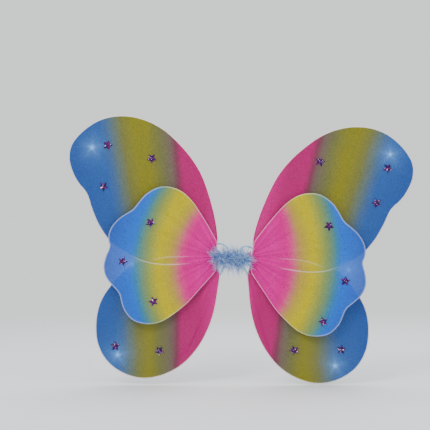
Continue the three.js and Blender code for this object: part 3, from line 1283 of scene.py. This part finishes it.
    def _front_depth(self, flat: np.ndarray, line: np.ndarray) -> np.ndarray:
        """Gives the front layer's depth, with the folds that fan out from the root.

        Args:
            flat: places in the wing's plane.
            line: the wire's centreline.

        Returns:
            The distance before the plane at each place.
        """
        reach = np.linalg.norm(flat, axis=1)
        angle = np.arctan2(flat[:, 1], flat[:, 0])
        beat = np.sin(26 * angle) + 0.6 * np.sin(43 * angle + 1.0) + 0.7 * np.sin(11 * angle + 2.2)
        folds = self.FOLD_DEPTH * beat * np.exp(-reach / self.FOLD_REACH) * self._held(flat, line)
        return self._stretch_depth(flat, line) + folds

    def _rear_depth(self, flat: np.ndarray, line: np.ndarray, gather: np.ndarray) -> np.ndarray:
        """Gives the rear layer's depth, drawn out to the gather knot in pleats.

        Args:
            flat: places in the wing's plane.
            line: the wire's centreline.
            gather: the gather knot's place.

        Returns:
            The distance behind the plane at each place.
        """
        away = flat - gather
        reach = np.linalg.norm(away, axis=1)
        angle = np.arctan2(away[:, 0], away[:, 1])
        beat = np.sin(23 * angle + 1.3) + 0.7 * np.sin(37 * angle + 0.4)
        pleats = self.PLEAT_DEPTH * beat * np.exp(-reach / self.PLEAT_REACH) * self._held(flat, line)
        cone = self.CONE_HEIGHT * np.exp(-((reach / self.CONE_WIDTH) ** 1.3))
        return self._stretch_depth(flat, line) + pleats + cone

    def _gather_knot(self, gather: np.ndarray, nylon: bpy.types.Material
                     ) -> tuple[bpy.types.Object, bpy.types.Object]:
        """Makes the gather knot.

        Args:
            gather: its place in the wing's plane.
            nylon: the bag's finish.

        Returns:
            The cut nylon frill, and the thread whipping round the neck of the bag.
        """
        label = self.plane.label
        start = self.SLACK_DEPTH + self.WHIP_START
        angles = np.arange(self.WHIP_TURNS * self.WHIP_STEPS + 1) * (2 * math.pi / self.WHIP_STEPS)
        climb = np.linspace(start, start + self.WHIP_CLIMB, len(angles))
        coil = gather + (self.NECK + 0.25 * MM) * np.stack([np.cos(angles), np.sin(angles)], axis=1)
        whipping = tube(f"{label}_gather_thread", self.plane.place(coil, climb), self.WHIP_RADIUS, 8,
                        self.thread_finish)

        spin = circle(self.FRILL_AROUND)
        flats, depths = [], []
        for row in range(self.FRILL_ROWS):
            share = row / (self.FRILL_ROWS - 1)
            ruffle = 0.55 * share * np.sin(9 * spin + 0.8) + 0.3 * share * np.sin(14 * spin)
            size = self.NECK * (0.75 + 1.7 * share ** 1.4) + ruffle * 0.5 * MM
            flats.append(gather + size[:, None] * np.stack([np.cos(spin), np.sin(spin)], axis=1))
            depths.append(start + 1.0 * MM + self.FRILL_LENGTH * share + 0.35 * MM * ruffle)
        for row in reversed(range(self.FRILL_ROWS - 1)):
            flats.append(gather + (flats[row] - gather) * 0.9)
            depths.append(depths[row] + self.FRILL_WALL)
        flat, depth = np.vstack(flats), np.concatenate(depths)
        faces = capped_faces(len(flats), self.FRILL_AROUND)
        frill = piece(f"{label}_gather_frill", self.plane.place(flat, depth), faces, nylon)
        store(frill, "rim", np.full(len(flat), 0.35))
        store_map(frill, "cut", self._undroop(flat))
        return frill, whipping


@dataclass
class StarGems:
    """The faceted star gems of one wing, grown on points by Geometry Nodes."""

    plane: WingPlane
    count: int
    turns: tuple[float, ...]
    finish: bpy.types.Material

    RADIUS = 7.5 * MM
    WAIST = 3.6 * MM
    WALL = 0.55 * MM
    BEVEL = 0.2 * MM
    HEIGHT = 2.4 * MM
    CORNERS = 10
    TABLE = 0.14
    TIP = 0.05

    def build(self) -> None:
        """Builds the wing's gems as one mesh that stands for its gem nodes."""
        names = [f"{self.plane.label}_star_{number + 1}" for number in range(self.count)]
        points, turns = [], []
        for name, turn in zip(names, self.turns):
            centre, _ = centre_and_half(name)
            back = float(np.dot(centre - self.plane.root, self.plane.forward))
            points.append(self.plane.place(self.plane.flat(centre), self.HEIGHT / 2 - back))
            turns.append(math.radians(turn))
        seeds = piece(f"{self.plane.label}_gem_seeds", np.array(points), [], self.finish)
        store(seeds, "turn", np.array(turns))
        gems = self._tree().grow(f"{self.plane.label}_star_gems", seeds)
        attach(gems, self.plane.body)
        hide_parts(*names)
        log.info("%s: %d star gems", self.plane.label, self.count)

    def _tree(self) -> GeometryTree:
        """Makes the tree that sets one cut star on each seed point, turned by its own angle.

        Returns:
            The tree.
        """
        lean = math.atan2(self.plane.forward[0], -self.plane.forward[1])
        tree = GeometryTree(f"{self.plane.label}_gem_setting", {
            "Star": ("NodeSocketObject", self._star()),
            "Lean": ("NodeSocketFloat", lean),
            "Material": ("NodeSocketMaterial", self.finish),
        })
        shape = tree.node("GeometryNodeObjectInfo", {}, {"Object": tree.given("Star")})
        turn = tree.node("GeometryNodeInputNamedAttribute", {"data_type": "FLOAT"}, {"Name": "turn"})
        angles = tree.node("ShaderNodeCombineXYZ", {}, {
            "Y": turn.outputs[0], "Z": tree.given("Lean"),
        })
        points = tree.node("GeometryNodeMeshToPoints", {}, {"Mesh": tree.given("Geometry")})
        placed = tree.node("GeometryNodeInstanceOnPoints", {}, {
            "Points": points.outputs[0], "Instance": shape.outputs["Geometry"],
            "Rotation": angles.outputs[0],
        })
        tree.close(placed.outputs[0])
        return tree

    def _star(self) -> bpy.types.Object:
        """Makes one star with its back at Y = 0, one point up, and its crown towards -Y.

        Returns:
            The star, which is not in the scene.
        """
        rings = (
            (0.0, 1.0, 0.0), (self.WALL, 1.0, 0.0), (self.WALL + self.BEVEL, 1.0, self.BEVEL),
            (self.HEIGHT - self.BEVEL, self.TABLE, 0.0), (self.HEIGHT, self.TIP, 0.0),
        )
        corners = []
        for height, share, cut in rings:
            for corner, angle in enumerate(circle(self.CORNERS)):
                radius = (self.RADIUS if corner % 2 == 0 else self.WAIST) * share - cut
                corners.append((radius * math.sin(angle), -height, radius * math.cos(angle)))
        faces = capped_faces(len(rings), self.CORNERS)
        star = piece(f"{self.plane.label}_star_pattern", np.array(corners), faces, self.finish,
                     smooth=False)
        # The facet number also picks the few facets that are painted pale as highlights.
        facets = star.data.attributes.new("facet", "FLOAT", "FACE")
        values = [(0.37 * face + 0.11 * (face // self.CORNERS)) % 1 for face in range(len(faces))]
        facets.data.foreach_set("value", values)
        bpy.context.scene.collection.objects.unlink(star)
        return star


# ------------------------------------------------------------------------------- the hub
@dataclass
class Hub:
    """The bound middle: wire ends, cloth tape, thread whippings, nylon necks and feather trim."""

    wire: bpy.types.Material
    tape: bpy.types.Material
    thread: bpy.types.Material
    nylon: bpy.types.Material
    down: bpy.types.Material

    WIRE_RADIUS = 0.8 * MM
    LAYER_PITCH = 2.2 * MM
    END_PITCH = 2.4 * MM
    END_INSET = 0.4 * MM
    LAYER_INSET = 0.9 * MM
    SQUARENESS = 5.0
    TAPE_AROUND = 96
    TAPE_ROWS = 120
    TAPE_TURNS = 5.0
    TAPE_LIP = 0.5 * MM
    TAPE_WALL = 1.2 * MM
    THREAD_RADIUS = 0.3 * MM
    THREAD_TURNS = 5
    THREAD_STEPS = 40
    NECK_AROUND = 96
    NECK_ROWS = 14
    NECK_PLEATS = 15
    NECK_WALL = 0.3 * MM
    NECK_START = 1.6 * MM
    NECK_END = 0.8 * MM
    NECK_FLOOR = 1.8 * MM
    NECK_FLARE = 1.6
    NECK_DEPTH = (4.0 * MM, 2.0 * MM)
    NECK_HEIGHT = (4.1 * MM, 4.6 * MM)
    NECK_HELD = 3.0 * MM
    NECK_TURNED = 3.4 * MM
    TUFT_HELD = 15 * MM
    TUFT_TURNED = 23 * MM
    HINGE_INSET = 3.5 * MM
    QUILL_RADIUS = 0.7 * MM
    SPINE_STEPS = 61
    SPINE = (
        (-31, 0.8, 0.0), (-26, 0.5, 0.5), (-18, -0.5, -1.5), (-9, -1.0, -1.5), (0, -1.5, -2.5),
        (8, -1.0, -4.5), (14, -0.5, -4.0), (18, 0.5, -2.5), (21, 0.8, -1.5),
    )

    def build(self) -> None:
        """Builds every piece of the hub; the wire ends, the tape, the whippings and the quill cord go on
        the root body.
        """
        self._wire_ends()
        self._tape()
        for side in Side:
            self._whipping(side)
            self._neck(side)
        self._feathers()

    def _on_root(self, made: bpy.types.Object, slot: str, *nodes: str) -> None:
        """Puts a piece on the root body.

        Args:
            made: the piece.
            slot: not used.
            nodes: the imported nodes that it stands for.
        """
        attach(made, "root")
        if nodes:
            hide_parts(*nodes)
        log.info("hub: %s", made.name)

    def _wire_ends(self) -> None:
        """Makes the bound wire ends: three pairs side by side, which are drawn together midway."""
        centre, half = centre_and_half("wire_end_core")
        parts = []
        steps = np.linspace(-1, 1, 41)
        for layer in (-1, 0, 1):
            for end in (-1, 1):
                hug = 1 - 0.28 * np.cos(steps * math.pi / 2)
                line = np.stack([
                    centre[0] + steps * (half[0] - self.END_INSET - abs(layer) * self.LAYER_INSET),
                    centre[1] + layer * self.LAYER_PITCH * hug,
                    centre[2] + end * self.END_PITCH / 2 * hug,
                ], axis=1)
                name = f"wire_end_{layer + 1}_{end + 1}"
                parts.append(tube(name, line, self.WIRE_RADIUS, 8, self.wire))
        self._on_root(join("bound_wire_ends", parts), "bare_wire", "wire_end_core")

    def _section(self, half_depth: float, half_height: float, count: int) -> np.ndarray:
        """Gives a rounded square section.

        Args:
            half_depth: half its size in Y.
            half_height: half its size in Z.
            count: how many points it has.

        Returns:
            The points' Y and Z.
        """
        angles = circle(count)
        power = 2 / self.SQUARENESS
        across = half_depth * np.sign(np.cos(angles)) * np.abs(np.cos(angles)) ** power
        upward = half_height * np.sign(np.sin(angles)) * np.abs(np.sin(angles)) ** power
        return np.stack([across, upward], axis=1)

    def _tape(self) -> None:
        """Makes the cloth tape, wound round the wire ends in overlapping turns."""
        centre, half = centre_and_half("hub_tape")
        around, rows = self.TAPE_AROUND, self.TAPE_ROWS
        angles = np.arange(around) / around
        section = self._section(half[1], half[2], around)
        hole = self._section(half[1] - self.TAPE_WALL, half[2] - self.TAPE_WALL, around)
        outer, inner = [], []
        for row in range(rows):
            share = row / (rows - 1)
            wound = (share * self.TAPE_TURNS + angles) % 1.0
            scale = 1 - self.TAPE_LIP * np.exp(-wound * 7)[:, None] / half[1]
            x = np.full((around, 1), centre[0] - half[0] + 2 * half[0] * share)
            outer.append(np.hstack([x, centre[1:] + section * scale]))
            inner.append(np.hstack([x, centre[1:] + hole]))
        rings = outer + inner[::-1]
        faces = grid_faces(len(rings), around)
        last = (len(rings) - 1) * around
        faces += [(last + c, last + (c + 1) % around, (c + 1) % around, c) for c in range(around)]
        made = piece("wound_cloth_tape", np.vstack(rings), faces, self.tape)
        self._on_root(made, "binding_tape", "hub_tape")

    def _whipping(self, side: Side) -> None:
        """Makes the turns of thread beside the tape on one side.

        Args:
            side: the side.
        """
        centre, half = centre_and_half(f"{side.value}_thread_wrap")
        radius, around = self.THREAD_RADIUS, self.THREAD_STEPS
        section = self._section(half[1] - radius, half[2] - radius, around)
        steps = self.THREAD_TURNS * around
        line = np.array([
            (centre[0] - half[0] + radius + 2 * (half[0] - radius) * step / steps,
             *(centre[1:] + section[step % around]))
            for step in range(steps + 1)
        ])
        made = tube(f"{side.value}_thread_whipping", line, radius, 6, self.thread)
        self._on_root(made, "thread", f"{side.value}_thread_wrap")

    def _neck(self, side: Side) -> None:
        """Makes the gathered neck of the nylon bags, from under the whipping to the wings' roots.

        It is closed by a dish a little beyond the hinge, so that no dark hole shows when a wing bends.

        Args:
            side: the side.
        """
        centre, half = centre_and_half("wire_end_core")
        start = abs(centre_and_half(f"{side.value}_thread_wrap")[0][0]) + self.NECK_START
        end = half[0] + self.NECK_END
        spin = circle(self.NECK_AROUND)
        outer, inner = [], []
        for row in range(self.NECK_ROWS):
            share = row / (self.NECK_ROWS - 1)
            flare = share ** self.NECK_FLARE
            twist = 0.6 * math.sin(5 * share)
            pleat = (0.35 + 0.5 * share) * MM * np.sin(self.NECK_PLEATS * spin + twist)
            depth, height = (least + more * flare for least, more in (self.NECK_DEPTH, self.NECK_HEIGHT))
            x = np.full(len(spin), side.sign * (start + (end - start) * share))
            for rings, wall in ((outer, 0.0), (inner, self.NECK_WALL)):
                rings.append(np.stack([
                    x, centre[1] + (depth - wall + pleat) * np.cos(spin),
                    centre[2] + (height - wall + pleat) * np.sin(spin),
                ], axis=1))
        hinge = half[0] - self.HINGE_INSET
        beyond = sum(abs(ring[0, 0]) > hinge + self.NECK_FLOOR for ring in inner)
        rings = outer + inner[::-1][:beyond]
        vertices = np.vstack(rings)
        made = piece(f"{side.value}_nylon_neck", vertices, capped_faces(len(rings), len(spin)), self.nylon)
        store(made, "rim", np.full(len(vertices), 0.1))
        store_map(made, "cut", np.hstack([np.abs(vertices[:, :1]) - hinge, vertices[:, 2:]]) / MM)
        side.sign * (hinge - self.NECK_HELD)
        side.sign * (hinge + self.NECK_TURNED)
        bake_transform(made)
        log.info("hub: %s", made.name)

    def _feathers(self) -> None:
        """Makes the marabou: a quill cord, a dense coat of plumes in three parts, and long wisps."""
        centre, _ = centre_and_half("feather_trim")
        line = catmull_rom(np.array(self.SPINE) * MM + (0, centre[1], 0), self.SPINE_STEPS)
        quill = tube("marabou_quill_cord", line[12:-10], self.QUILL_RADIUS, 8, self.down)
        store(quill, "tip", np.full(len(quill.data.vertices), 0.3))
        store(quill, "tone", np.full(len(quill.data.vertices), 0.4))
        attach(quill, "root")
        coats = (
            PlumeCoat("marabou_middle", self.down, line[12:-9], plumes=760, shortest=0.4, longest=1.2,
                      seed=11),
            PlumeCoat("marabou_left", self.down, line[:13], plumes=200, shortest=0.35, longest=0.8, seed=3),
            PlumeCoat("marabou_right", self.down, line[-10:], plumes=150, shortest=0.35, longest=0.8,
                      seed=7),
            PlumeCoat("marabou_wisps", self.down, line[18:-6], plumes=60, shortest=1.15, longest=1.5,
                      seed=5),
        )
        for coat in coats:
            grown = coat.grow(centre[1])
            sides = [side for side in Side if side.value in coat.name] or list(Side)
            for side in sides:
                made = grown if len(sides) == 1 else coat.half(grown, side)
                side.sign * self.TUFT_HELD
                side.sign * self.TUFT_TURNED
                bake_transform(made)
                if coat.name == "marabou_middle":
                    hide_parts("feather_trim")
                log.info("hub: %s", made.name)
            if len(sides) > 1:
                bpy.data.objects.remove(grown)


def join(name: str, parts: Sequence[bpy.types.Object]) -> bpy.types.Object:
    """Makes one object of several with the same finish.

    Args:
        name: the new piece's name.
        parts: the objects, which are removed.

    Returns:
        The new piece.
    """
    vertices, faces, total = [], [], 0
    for part in parts:
        vertices.extend(tuple(vertex.co) for vertex in part.data.vertices)
        faces.extend(tuple(total + v for v in polygon.vertices) for polygon in part.data.polygons)
        total = len(vertices)
    made = piece(name, np.array(vertices), faces, parts[0].data.materials[0])
    for part in parts:
        bpy.data.objects.remove(part)
    return made


@dataclass
class PlumeCoat:
    """Marabou plumes grown along a line by Geometry Nodes."""

    name: str
    finish: bpy.types.Material
    line: np.ndarray
    plumes: int
    shortest: float
    longest: float
    seed: int

    LENGTH = 18.0 * MM
    KINDS = 6
    KIND_SEED = 100
    FLATTENED = 0.5
    TURN_FROM = (-16, -72, -25)
    TURN_TO = (206, 72, 25)
    STEM_RADIUS = 0.18 * MM
    STEM_ROWS = 5
    BARBS = 11
    BARB_RADIUS = 0.15 * MM
    BARB_TURN = 2.4

    def grow(self, depth: float) -> bpy.types.Object:
        """Grows the plumes along the line and gives them as one mesh.

        Args:
            depth: the middle of the coat in Y, towards which the plumes are pressed.

        Returns:
            The coat.
        """
        spine = bpy.data.meshes.new(f"{self.name}_spine")
        spine.from_pydata(self.line.tolist(), [(i, i + 1) for i in range(len(self.line) - 1)], [])
        seed_object = show(bpy.data.objects.new(f"{self.name}_spine", spine))
        coat = self._tree().grow(self.name, seed_object)
        for vertex in coat.data.vertices:
            vertex.co.y = depth + (vertex.co.y - depth) * self.FLATTENED
        return coat

    def half(self, coat: bpy.types.Object, side: Side) -> bpy.types.Object:
        """Gives a copy of a coat with only the plumes that are rooted on one side of the middle.

        Args:
            coat: the whole coat, which stays as it is.
            side: the side to keep.

        Returns:
            The plumes of that side, as a new piece.
        """
        mesh = coat.data.copy()
        shape = bmesh.new()
        shape.from_mesh(mesh)
        shape.verts.ensure_lookup_table()
        each = len(shape.verts) // self.plumes
        away = []
        for first in range(0, len(shape.verts), each):
            if shape.verts[first].co.x * side.sign < 0:
                away.extend(shape.verts[first:first + each])
        bmesh.ops.delete(shape, geom=away, context="VERTS")
        shape.to_mesh(mesh)
        shape.free()
        made = show(bpy.data.objects.new(f"{coat.name}_{side.value}", mesh))
        mesh.name = made.name
        return made

    def _tree(self) -> GeometryTree:
        """Makes the tree that scatters plumes along a line, pointing up, down and forward.

        Returns:
            The tree.
        """
        kinds = bpy.data.collections.new(f"{self.name}_kinds")
        for kind in range(self.KINDS):
            kinds.objects.link(self._plume(kind))
        tree = GeometryTree(f"{self.name}_coat", {
            "Kinds": ("NodeSocketCollection", kinds),
            "Plumes": ("NodeSocketInt", self.plumes),
            "Shortest": ("NodeSocketFloat", self.shortest),
            "Longest": ("NodeSocketFloat", self.longest),
            "Seed": ("NodeSocketInt", self.seed),
            "Material": ("NodeSocketMaterial", self.finish),
        })
        curve = tree.node("GeometryNodeMeshToCurve", {}, {0: tree.given("Geometry")})
        points = tree.node("GeometryNodeCurveToPoints", {"mode": "COUNT"}, {
            "Curve": curve.outputs[0], "Count": tree.given("Plumes"),
        })
        shapes = tree.node("GeometryNodeCollectionInfo", {}, {
            "Collection": tree.given("Kinds"), "Separate Children": True, "Reset Children": True,
        })
        turn = tree.node("FunctionNodeRandomValue", {"data_type": "FLOAT_VECTOR"}, {
            0: tuple(math.radians(angle) for angle in self.TURN_FROM),
            1: tuple(math.radians(angle) for angle in self.TURN_TO),
            "Seed": tree.given("Seed"),
        })
        size = tree.node("FunctionNodeRandomValue", {"data_type": "FLOAT"}, {
            2: tree.given("Shortest"), 3: tree.given("Longest"), "Seed": tree.given("Seed"),
        })
        kind = tree.node("FunctionNodeRandomValue", {"data_type": "INT"}, {
            4: 0, 5: self.KINDS - 1, "Seed": tree.given("Seed"),
        })
        placed = tree.node("GeometryNodeInstanceOnPoints", {}, {
            "Points": points.outputs[0], "Instance": shapes.outputs[0], "Pick Instance": True,
            "Instance Index": kind.outputs[2], "Rotation": turn.outputs[0], "Scale": size.outputs[1],
        })
        tone = tree.node("FunctionNodeRandomValue", {"data_type": "FLOAT"}, {
            2: 0.0, 3: 1.0, "Seed": tree.given("Seed"),
        })
        toned = tree.node(
            "GeometryNodeStoreNamedAttribute", {"data_type": "FLOAT", "domain": "INSTANCE"},
            {"Geometry": placed.outputs[0], "Name": "tone", "Value": tone.outputs[1]},
        )
        tree.close(toned.outputs[0])
        return tree

    def _plume(self, kind: int) -> bpy.types.Object:
        """Makes one plume along +Z: a bent stem with fine barbs on both sides.

        Args:
            kind: the number of its kind, which also seeds it.

        Returns:
            The plume, which is not in the scene.
        """
        random = np.random.default_rng(self.KIND_SEED + kind)
        share = np.linspace(0, 1, self.STEM_ROWS)
        bend = random.uniform(-0.5, 0.5, 2) * self.LENGTH
        stem = np.stack([bend[0] * share ** 2, bend[1] * share ** 2, self.LENGTH * share], axis=1)
        vertices: list[np.ndarray] = []
        faces: Faces = []
        tips: list[float] = []

        def spike(points: np.ndarray, radius: float, low: float, high: float) -> None:
            """Adds one three-sided tapering hair.

            Args:
                points: its centreline.
                radius: its thickness at the start.
                low: its tip number at the start.
                high: its tip number at the end.
            """
            first = len(vertices)
            for index, point in enumerate(points[:-1]):
                thin = radius * (1 - 0.6 * index / len(points))
                for corner in range(3):
                    angle = corner * 2 * math.pi / 3
                    vertices.append(point + thin * np.array((math.cos(angle), math.sin(angle), 0)))
                    tips.append(low + (high - low) * index / (len(points) - 1))
            vertices.append(points[-1])
            tips.append(high)
            rows = len(points) - 1
            faces.extend(grid_faces(rows, 3, first))
            faces.append((first + 2, first + 1, first))
            top = first + (rows - 1) * 3
            faces.extend((top + c, top + (c + 1) % 3, len(vertices) - 1) for c in range(3))

        spike(stem, self.STEM_RADIUS, 0.0, 0.9)
        for barb in range(self.BARBS):
            place = 0.1 + 0.85 * barb / (self.BARBS - 1)
            start = np.array([np.interp(place, share, stem[:, axis]) for axis in range(3)])
            angle = barb * self.BARB_TURN + random.uniform(-0.5, 0.5)
            length = self.LENGTH * random.uniform(0.2, 0.4) * (1.1 - 0.45 * place)
            way = np.array((math.cos(angle), math.sin(angle), random.uniform(1.6, 3.0)))
            way *= length / np.linalg.norm(way)
            middle = start + 0.5 * way + np.array((0, 0, 0.08 * length))
            spike(np.array([start, middle, start + way]), self.BARB_RADIUS, place * 0.9, 1.0)
        made = piece(f"{self.name}_kind_{kind}", np.array(vertices), faces, self.finish)
        store(made, "tip", np.array(tips))
        bpy.context.scene.collection.objects.unlink(made)
        return made


# ------------------------------------------------------------------------------- the arm loops
@dataclass
class ArmLoop:
    """One elastic arm loop: a round cord that leaves the hub's top and returns to its underside."""

    side: Side
    route: tuple[tuple[float, float], ...]
    length: float
    finish: bpy.types.Material

    HALF_SPACING = 9.0 * MM
    HINGE_DEPTH = -2.3 * MM
    END_HEIGHT = 9.6
    SPLAY = 15.0
    DIAMETER = 2.5 * MM
    SIDES = 12
    STEPS = 260
    KNOT_STEPS = 90
    KNOT_SPREAD = 0.62
    KNOT_CORD = 0.34

    def build(self) -> None:
        """Builds the cord and its two knots."""
        line = self._line()
        cord = tube(f"{self.side.value}_arm_elastic", line, self.DIAMETER / 2, self.SIDES, self.finish)
        body = f"{self.side.value}_arm_loop"
        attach(cord, body)
        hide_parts(f"{self.side.value}_arm_loop")
        for level in ("top", "bottom"):
            self._knot(level)
        log.info("%s arm loop: %.0f mm", self.side.value, 1000 * self.length)

    def _line(self) -> np.ndarray:
        """Gives the cord's centreline.

        Returns:
            Its points.
        """
        flat = [(0.0, self.END_HEIGHT), *self.route, (0.0, -self.END_HEIGHT)]
        places = catmull_rom(np.array(flat) * MM, self.STEPS)
        lean = math.radians(self.SPLAY)
        return np.stack([
            self.side.sign * (self.HALF_SPACING + places[:, 0] * math.cos(lean)),
            self.HINGE_DEPTH + places[:, 0] * math.sin(lean),
            places[:, 1],
        ], axis=1)

    def _knot(self, level: str) -> None:
        """Makes one overhand knot in place of its plain node.

        Args:
            level: top or bottom.
        """
        node = f"{self.side.value}_{level}_strap_knot"
        centre, (size, _, _) = centre_and_half(node)
        turn = np.linspace(0, 2 * math.pi, self.KNOT_STEPS)
        wide, lift = 0.62 + 0.36 * np.cos(3 * turn), 0.55 * np.sin(3 * turn)
        line = np.stack([wide * np.cos(2 * turn), wide * np.sin(2 * turn), lift], axis=1)
        made = tube(f"{node}_tied", centre + line * size * self.KNOT_SPREAD, size * self.KNOT_CORD, 8,
                    self.finish)
        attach(made, "root")
        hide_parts(node)


# ------------------------------------------------------------------------------- the studio
@dataclass(frozen=True)
class SoftLight:
    """A square light that faces the hub, with its place and size in metres and its power in watts."""

    name: str
    place: tuple[float, float, float]
    size: float
    power: float

    def hang(self) -> None:
        """Makes the light."""
        data = bpy.data.lights.new(self.name, "AREA")
        data.energy = self.power
        data.size = self.size
        light = show(bpy.data.objects.new(self.name, data))
        light.location = self.place
        light.visible_camera = False
        light.rotation_euler = Vector(self.place).to_track_quat("Z", "Y").to_euler()


@dataclass
class Studio:
    """The camera, the floor and the soft light."""

    distance: float = 1.9
    frame_width: float = 0.6235
    aim: tuple[float, float] = (-0.0279, 0.0609)
    depth: float = -0.006
    floor_light: Colour = (0.84, 0.85, 0.87)
    floor_dark: Colour = (0.81, 0.82, 0.85)
    room: Colour = (0.97, 0.985, 1.0)
    room_strength: float = 1.12

    FLOOR_CORNERS = 96
    FLOOR_RADIUS = 5.0
    FLOOR_GAP = 1.0 * MM
    FLOOR_FADE = (450.0, 1650.0)
    LIGHTS = (
        SoftLight("key", (-0.8, -1.6, 1.2), 0.7, 21.0),
        SoftLight("fill", (1.3, -1.3, 0.3), 1.2, 6.0),
        SoftLight("top", (0.0, 0.3, 1.4), 1.0, 8.0),
        SoftLight("back", (0.6, 1.5, 0.7), 1.2, 8.0),
    )

    def set_camera(self) -> None:
        """Sets the camera square to the display side."""
        data = bpy.data.cameras.new("camera")
        data.sensor_width = 36.0
        data.lens = data.sensor_width * self.distance / self.frame_width
        camera = show(bpy.data.objects.new("camera", data))
        camera.location = (self.aim[0], self.depth - self.distance, self.aim[1])
        camera.rotation_euler = (math.pi / 2, 0, 0)
        bpy.context.scene.camera = camera

    def set_floor(self) -> None:
        """Lays a wide pale floor just under the lower wings, which fades into the room far away."""
        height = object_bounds()[0][2] - self.FLOOR_GAP
        count, angles = self.FLOOR_CORNERS, circle(self.FLOOR_CORNERS)
        rim = self.FLOOR_RADIUS * np.stack([np.cos(angles), np.sin(angles)], axis=1)
        corners = np.hstack([rim, np.full((count, 1), height)])
        shader = Shader("studio_floor", 0.8, Specular_IOR_Level=0.15)
        place = shader.coordinates()
        across, away, _ = shader.split(place)
        speckle = shader.noise(place, 4.0, 3.0)
        shade = shader.mix(speckle, self.floor_light, self.floor_dark)
        shader.colour(shade)
        shader.feed(shader.surface.inputs["Alpha"], 1.0 - across.hypot(away).ramp_up(*self.FLOOR_FADE))
        piece("studio_floor", corners, [tuple(range(count))], shader.material)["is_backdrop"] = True

    def set_light(self) -> None:
        """Sets a large soft key light, a fill, a top and a back light, in a pale room."""
        world = bpy.data.worlds.new("room")
        world.use_nodes = True
        background = world.node_tree.nodes["Background"]
        background.inputs[0].default_value = (*self.room, 1.0)
        background.inputs[1].default_value = self.room_strength
        bpy.context.scene.world = world
        for light in self.LIGHTS:
            light.hang()


BANDS = {
    (Side.LEFT, Wing.UPPER): Bands(45.5, 0.10, 0.0, 120.0, 0.17, 0.0),
    (Side.RIGHT, Wing.UPPER): Bands(59.5, 0.10, 0.0, 126.0, 0.19, 0.0),
    (Side.LEFT, Wing.LOWER): Bands(60.0, 0.0, 0.0, 128.0, 0.0, 0.0),
    (Side.RIGHT, Wing.LOWER): Bands(55.0, 0.07, 0.0, 100.0, -0.13, 0.0),
    (Side.LEFT, Wing.FRONT): Bands(62.0, 0.0, 0.0043, 116.0, 0.0, 0.0026),
    (Side.RIGHT, Wing.FRONT): Bands(69.0, 0.0, 0.0032, 123.0, 0.0, 0.0023),
}
NO_GATHER = (900.0, 900.0)  # so far off that nothing of a gather knot shows
DROOPS = {
    Side.LEFT: dict.fromkeys(Wing, 0.0),
    Side.RIGHT: {Wing.UPPER: 7.2, Wing.LOWER: 3.6, Wing.FRONT: 8.4},
}
GEM_TURNS = {
    (Side.LEFT, Wing.UPPER): (18, 36, 36),
    (Side.RIGHT, Wing.UPPER): (36, 18, 54),
    (Side.LEFT, Wing.LOWER): (0, 36),
    (Side.RIGHT, Wing.LOWER): (5, 54),
    (Side.LEFT, Wing.FRONT): (32, 18, 54),
    (Side.RIGHT, Wing.FRONT): (36, 8, 54),
}
CUTS = {
    Wing.UPPER: ((0.155, 0.21), 0.0280),
    Wing.LOWER: ((0.130, 0.17), 0.0190),
    Wing.FRONT: ((0.135, 0.155), 0.0175),
}
ROUTES = {
    Side.LEFT: ((
        (1, 12.5), (5, 17), (12, 19.2), (21, 17.5), (35, 9), (52.5, -8), (68.5, -36), (81, -71),
        (87, -106), (85.5, -133), (76.5, -146.5), (64.5, -141), (52, -117.5), (37.5, -87), (25, -57),
        (14.5, -32), (7, -17), (1.2, -11.8),
    ), 0.375),
    Side.RIGHT: ((
        (1, 12), (4.5, 14.8), (11, 15.2), (21, 11), (35, 0), (50, -19), (63, -48), (71.5, -82),
        (74, -116), (70, -143), (60, -154), (48.5, -147), (39, -124), (30, -93), (21.5, -62),
        (13.5, -34), (6.5, -17), (1.2, -11.8),
    ), 0.372),
}


def main() -> None:
    """Builds the camera, the cords, the wings, the hub and the studio, and notes the sizes."""
    logging.basicConfig(level=logging.INFO, format="%(name)s: %(message)s")
    studio = Studio()
    studio.set_camera()
    elastic = BraidedElastic().material()
    for side in Side:
        route, length = ROUTES[side]
        ArmLoop(side, route, length, elastic).build()

    steel = PlainFinish("drawn_steel", linear("b9bec6"), linear("8d939c"), roughness=0.32, grain=0.6,
                        relief=0.01, metallic=1.0).material()
    thread = PlainFinish("white_thread", linear("e8eff8"), linear("c4d0e0"), roughness=0.75, grain=0.25,
                         relief=0.05, sheen=0.3)
    tape = PlainFinish("cloth_tape", linear("dce8f4"), linear("b6c8dc"), roughness=0.8, grain=0.45,
                       relief=0.08, sheen=0.2)
    thread_finish = thread.material()
    gem_finish = GemPlastic().material()
    for side in Side:
        for wing in Wing:
            plane = WingPlane(side, wing)
            cloth = FRONT_CLOTH if wing is Wing.FRONT else BACK_CLOTH
            WingCover(plane, BANDS[side, wing], cloth, DROOPS[side][wing], *CUTS[wing], steel,
                      thread_finish).build()
            turns = GEM_TURNS[side, wing]
            StarGems(plane, len(turns), turns, gem_finish).build()

    # The neck's pleat strength sets its painted fold shade and highlight.
    neck_cloth = replace(FRONT_CLOTH, cover=0.85, pleat=0.3, burst=0.0, rim_white=0.3)
    neck = SheerNylon("neck_nylon_dye", neck_cloth, BANDS[Side.LEFT, Wing.FRONT], NO_GATHER)
    Hub(steel, tape.material(), thread_finish, neck.material(), MarabouDown().material()).build()
    studio.set_floor()
    studio.set_light()


if __name__ == "__main__":
    main()
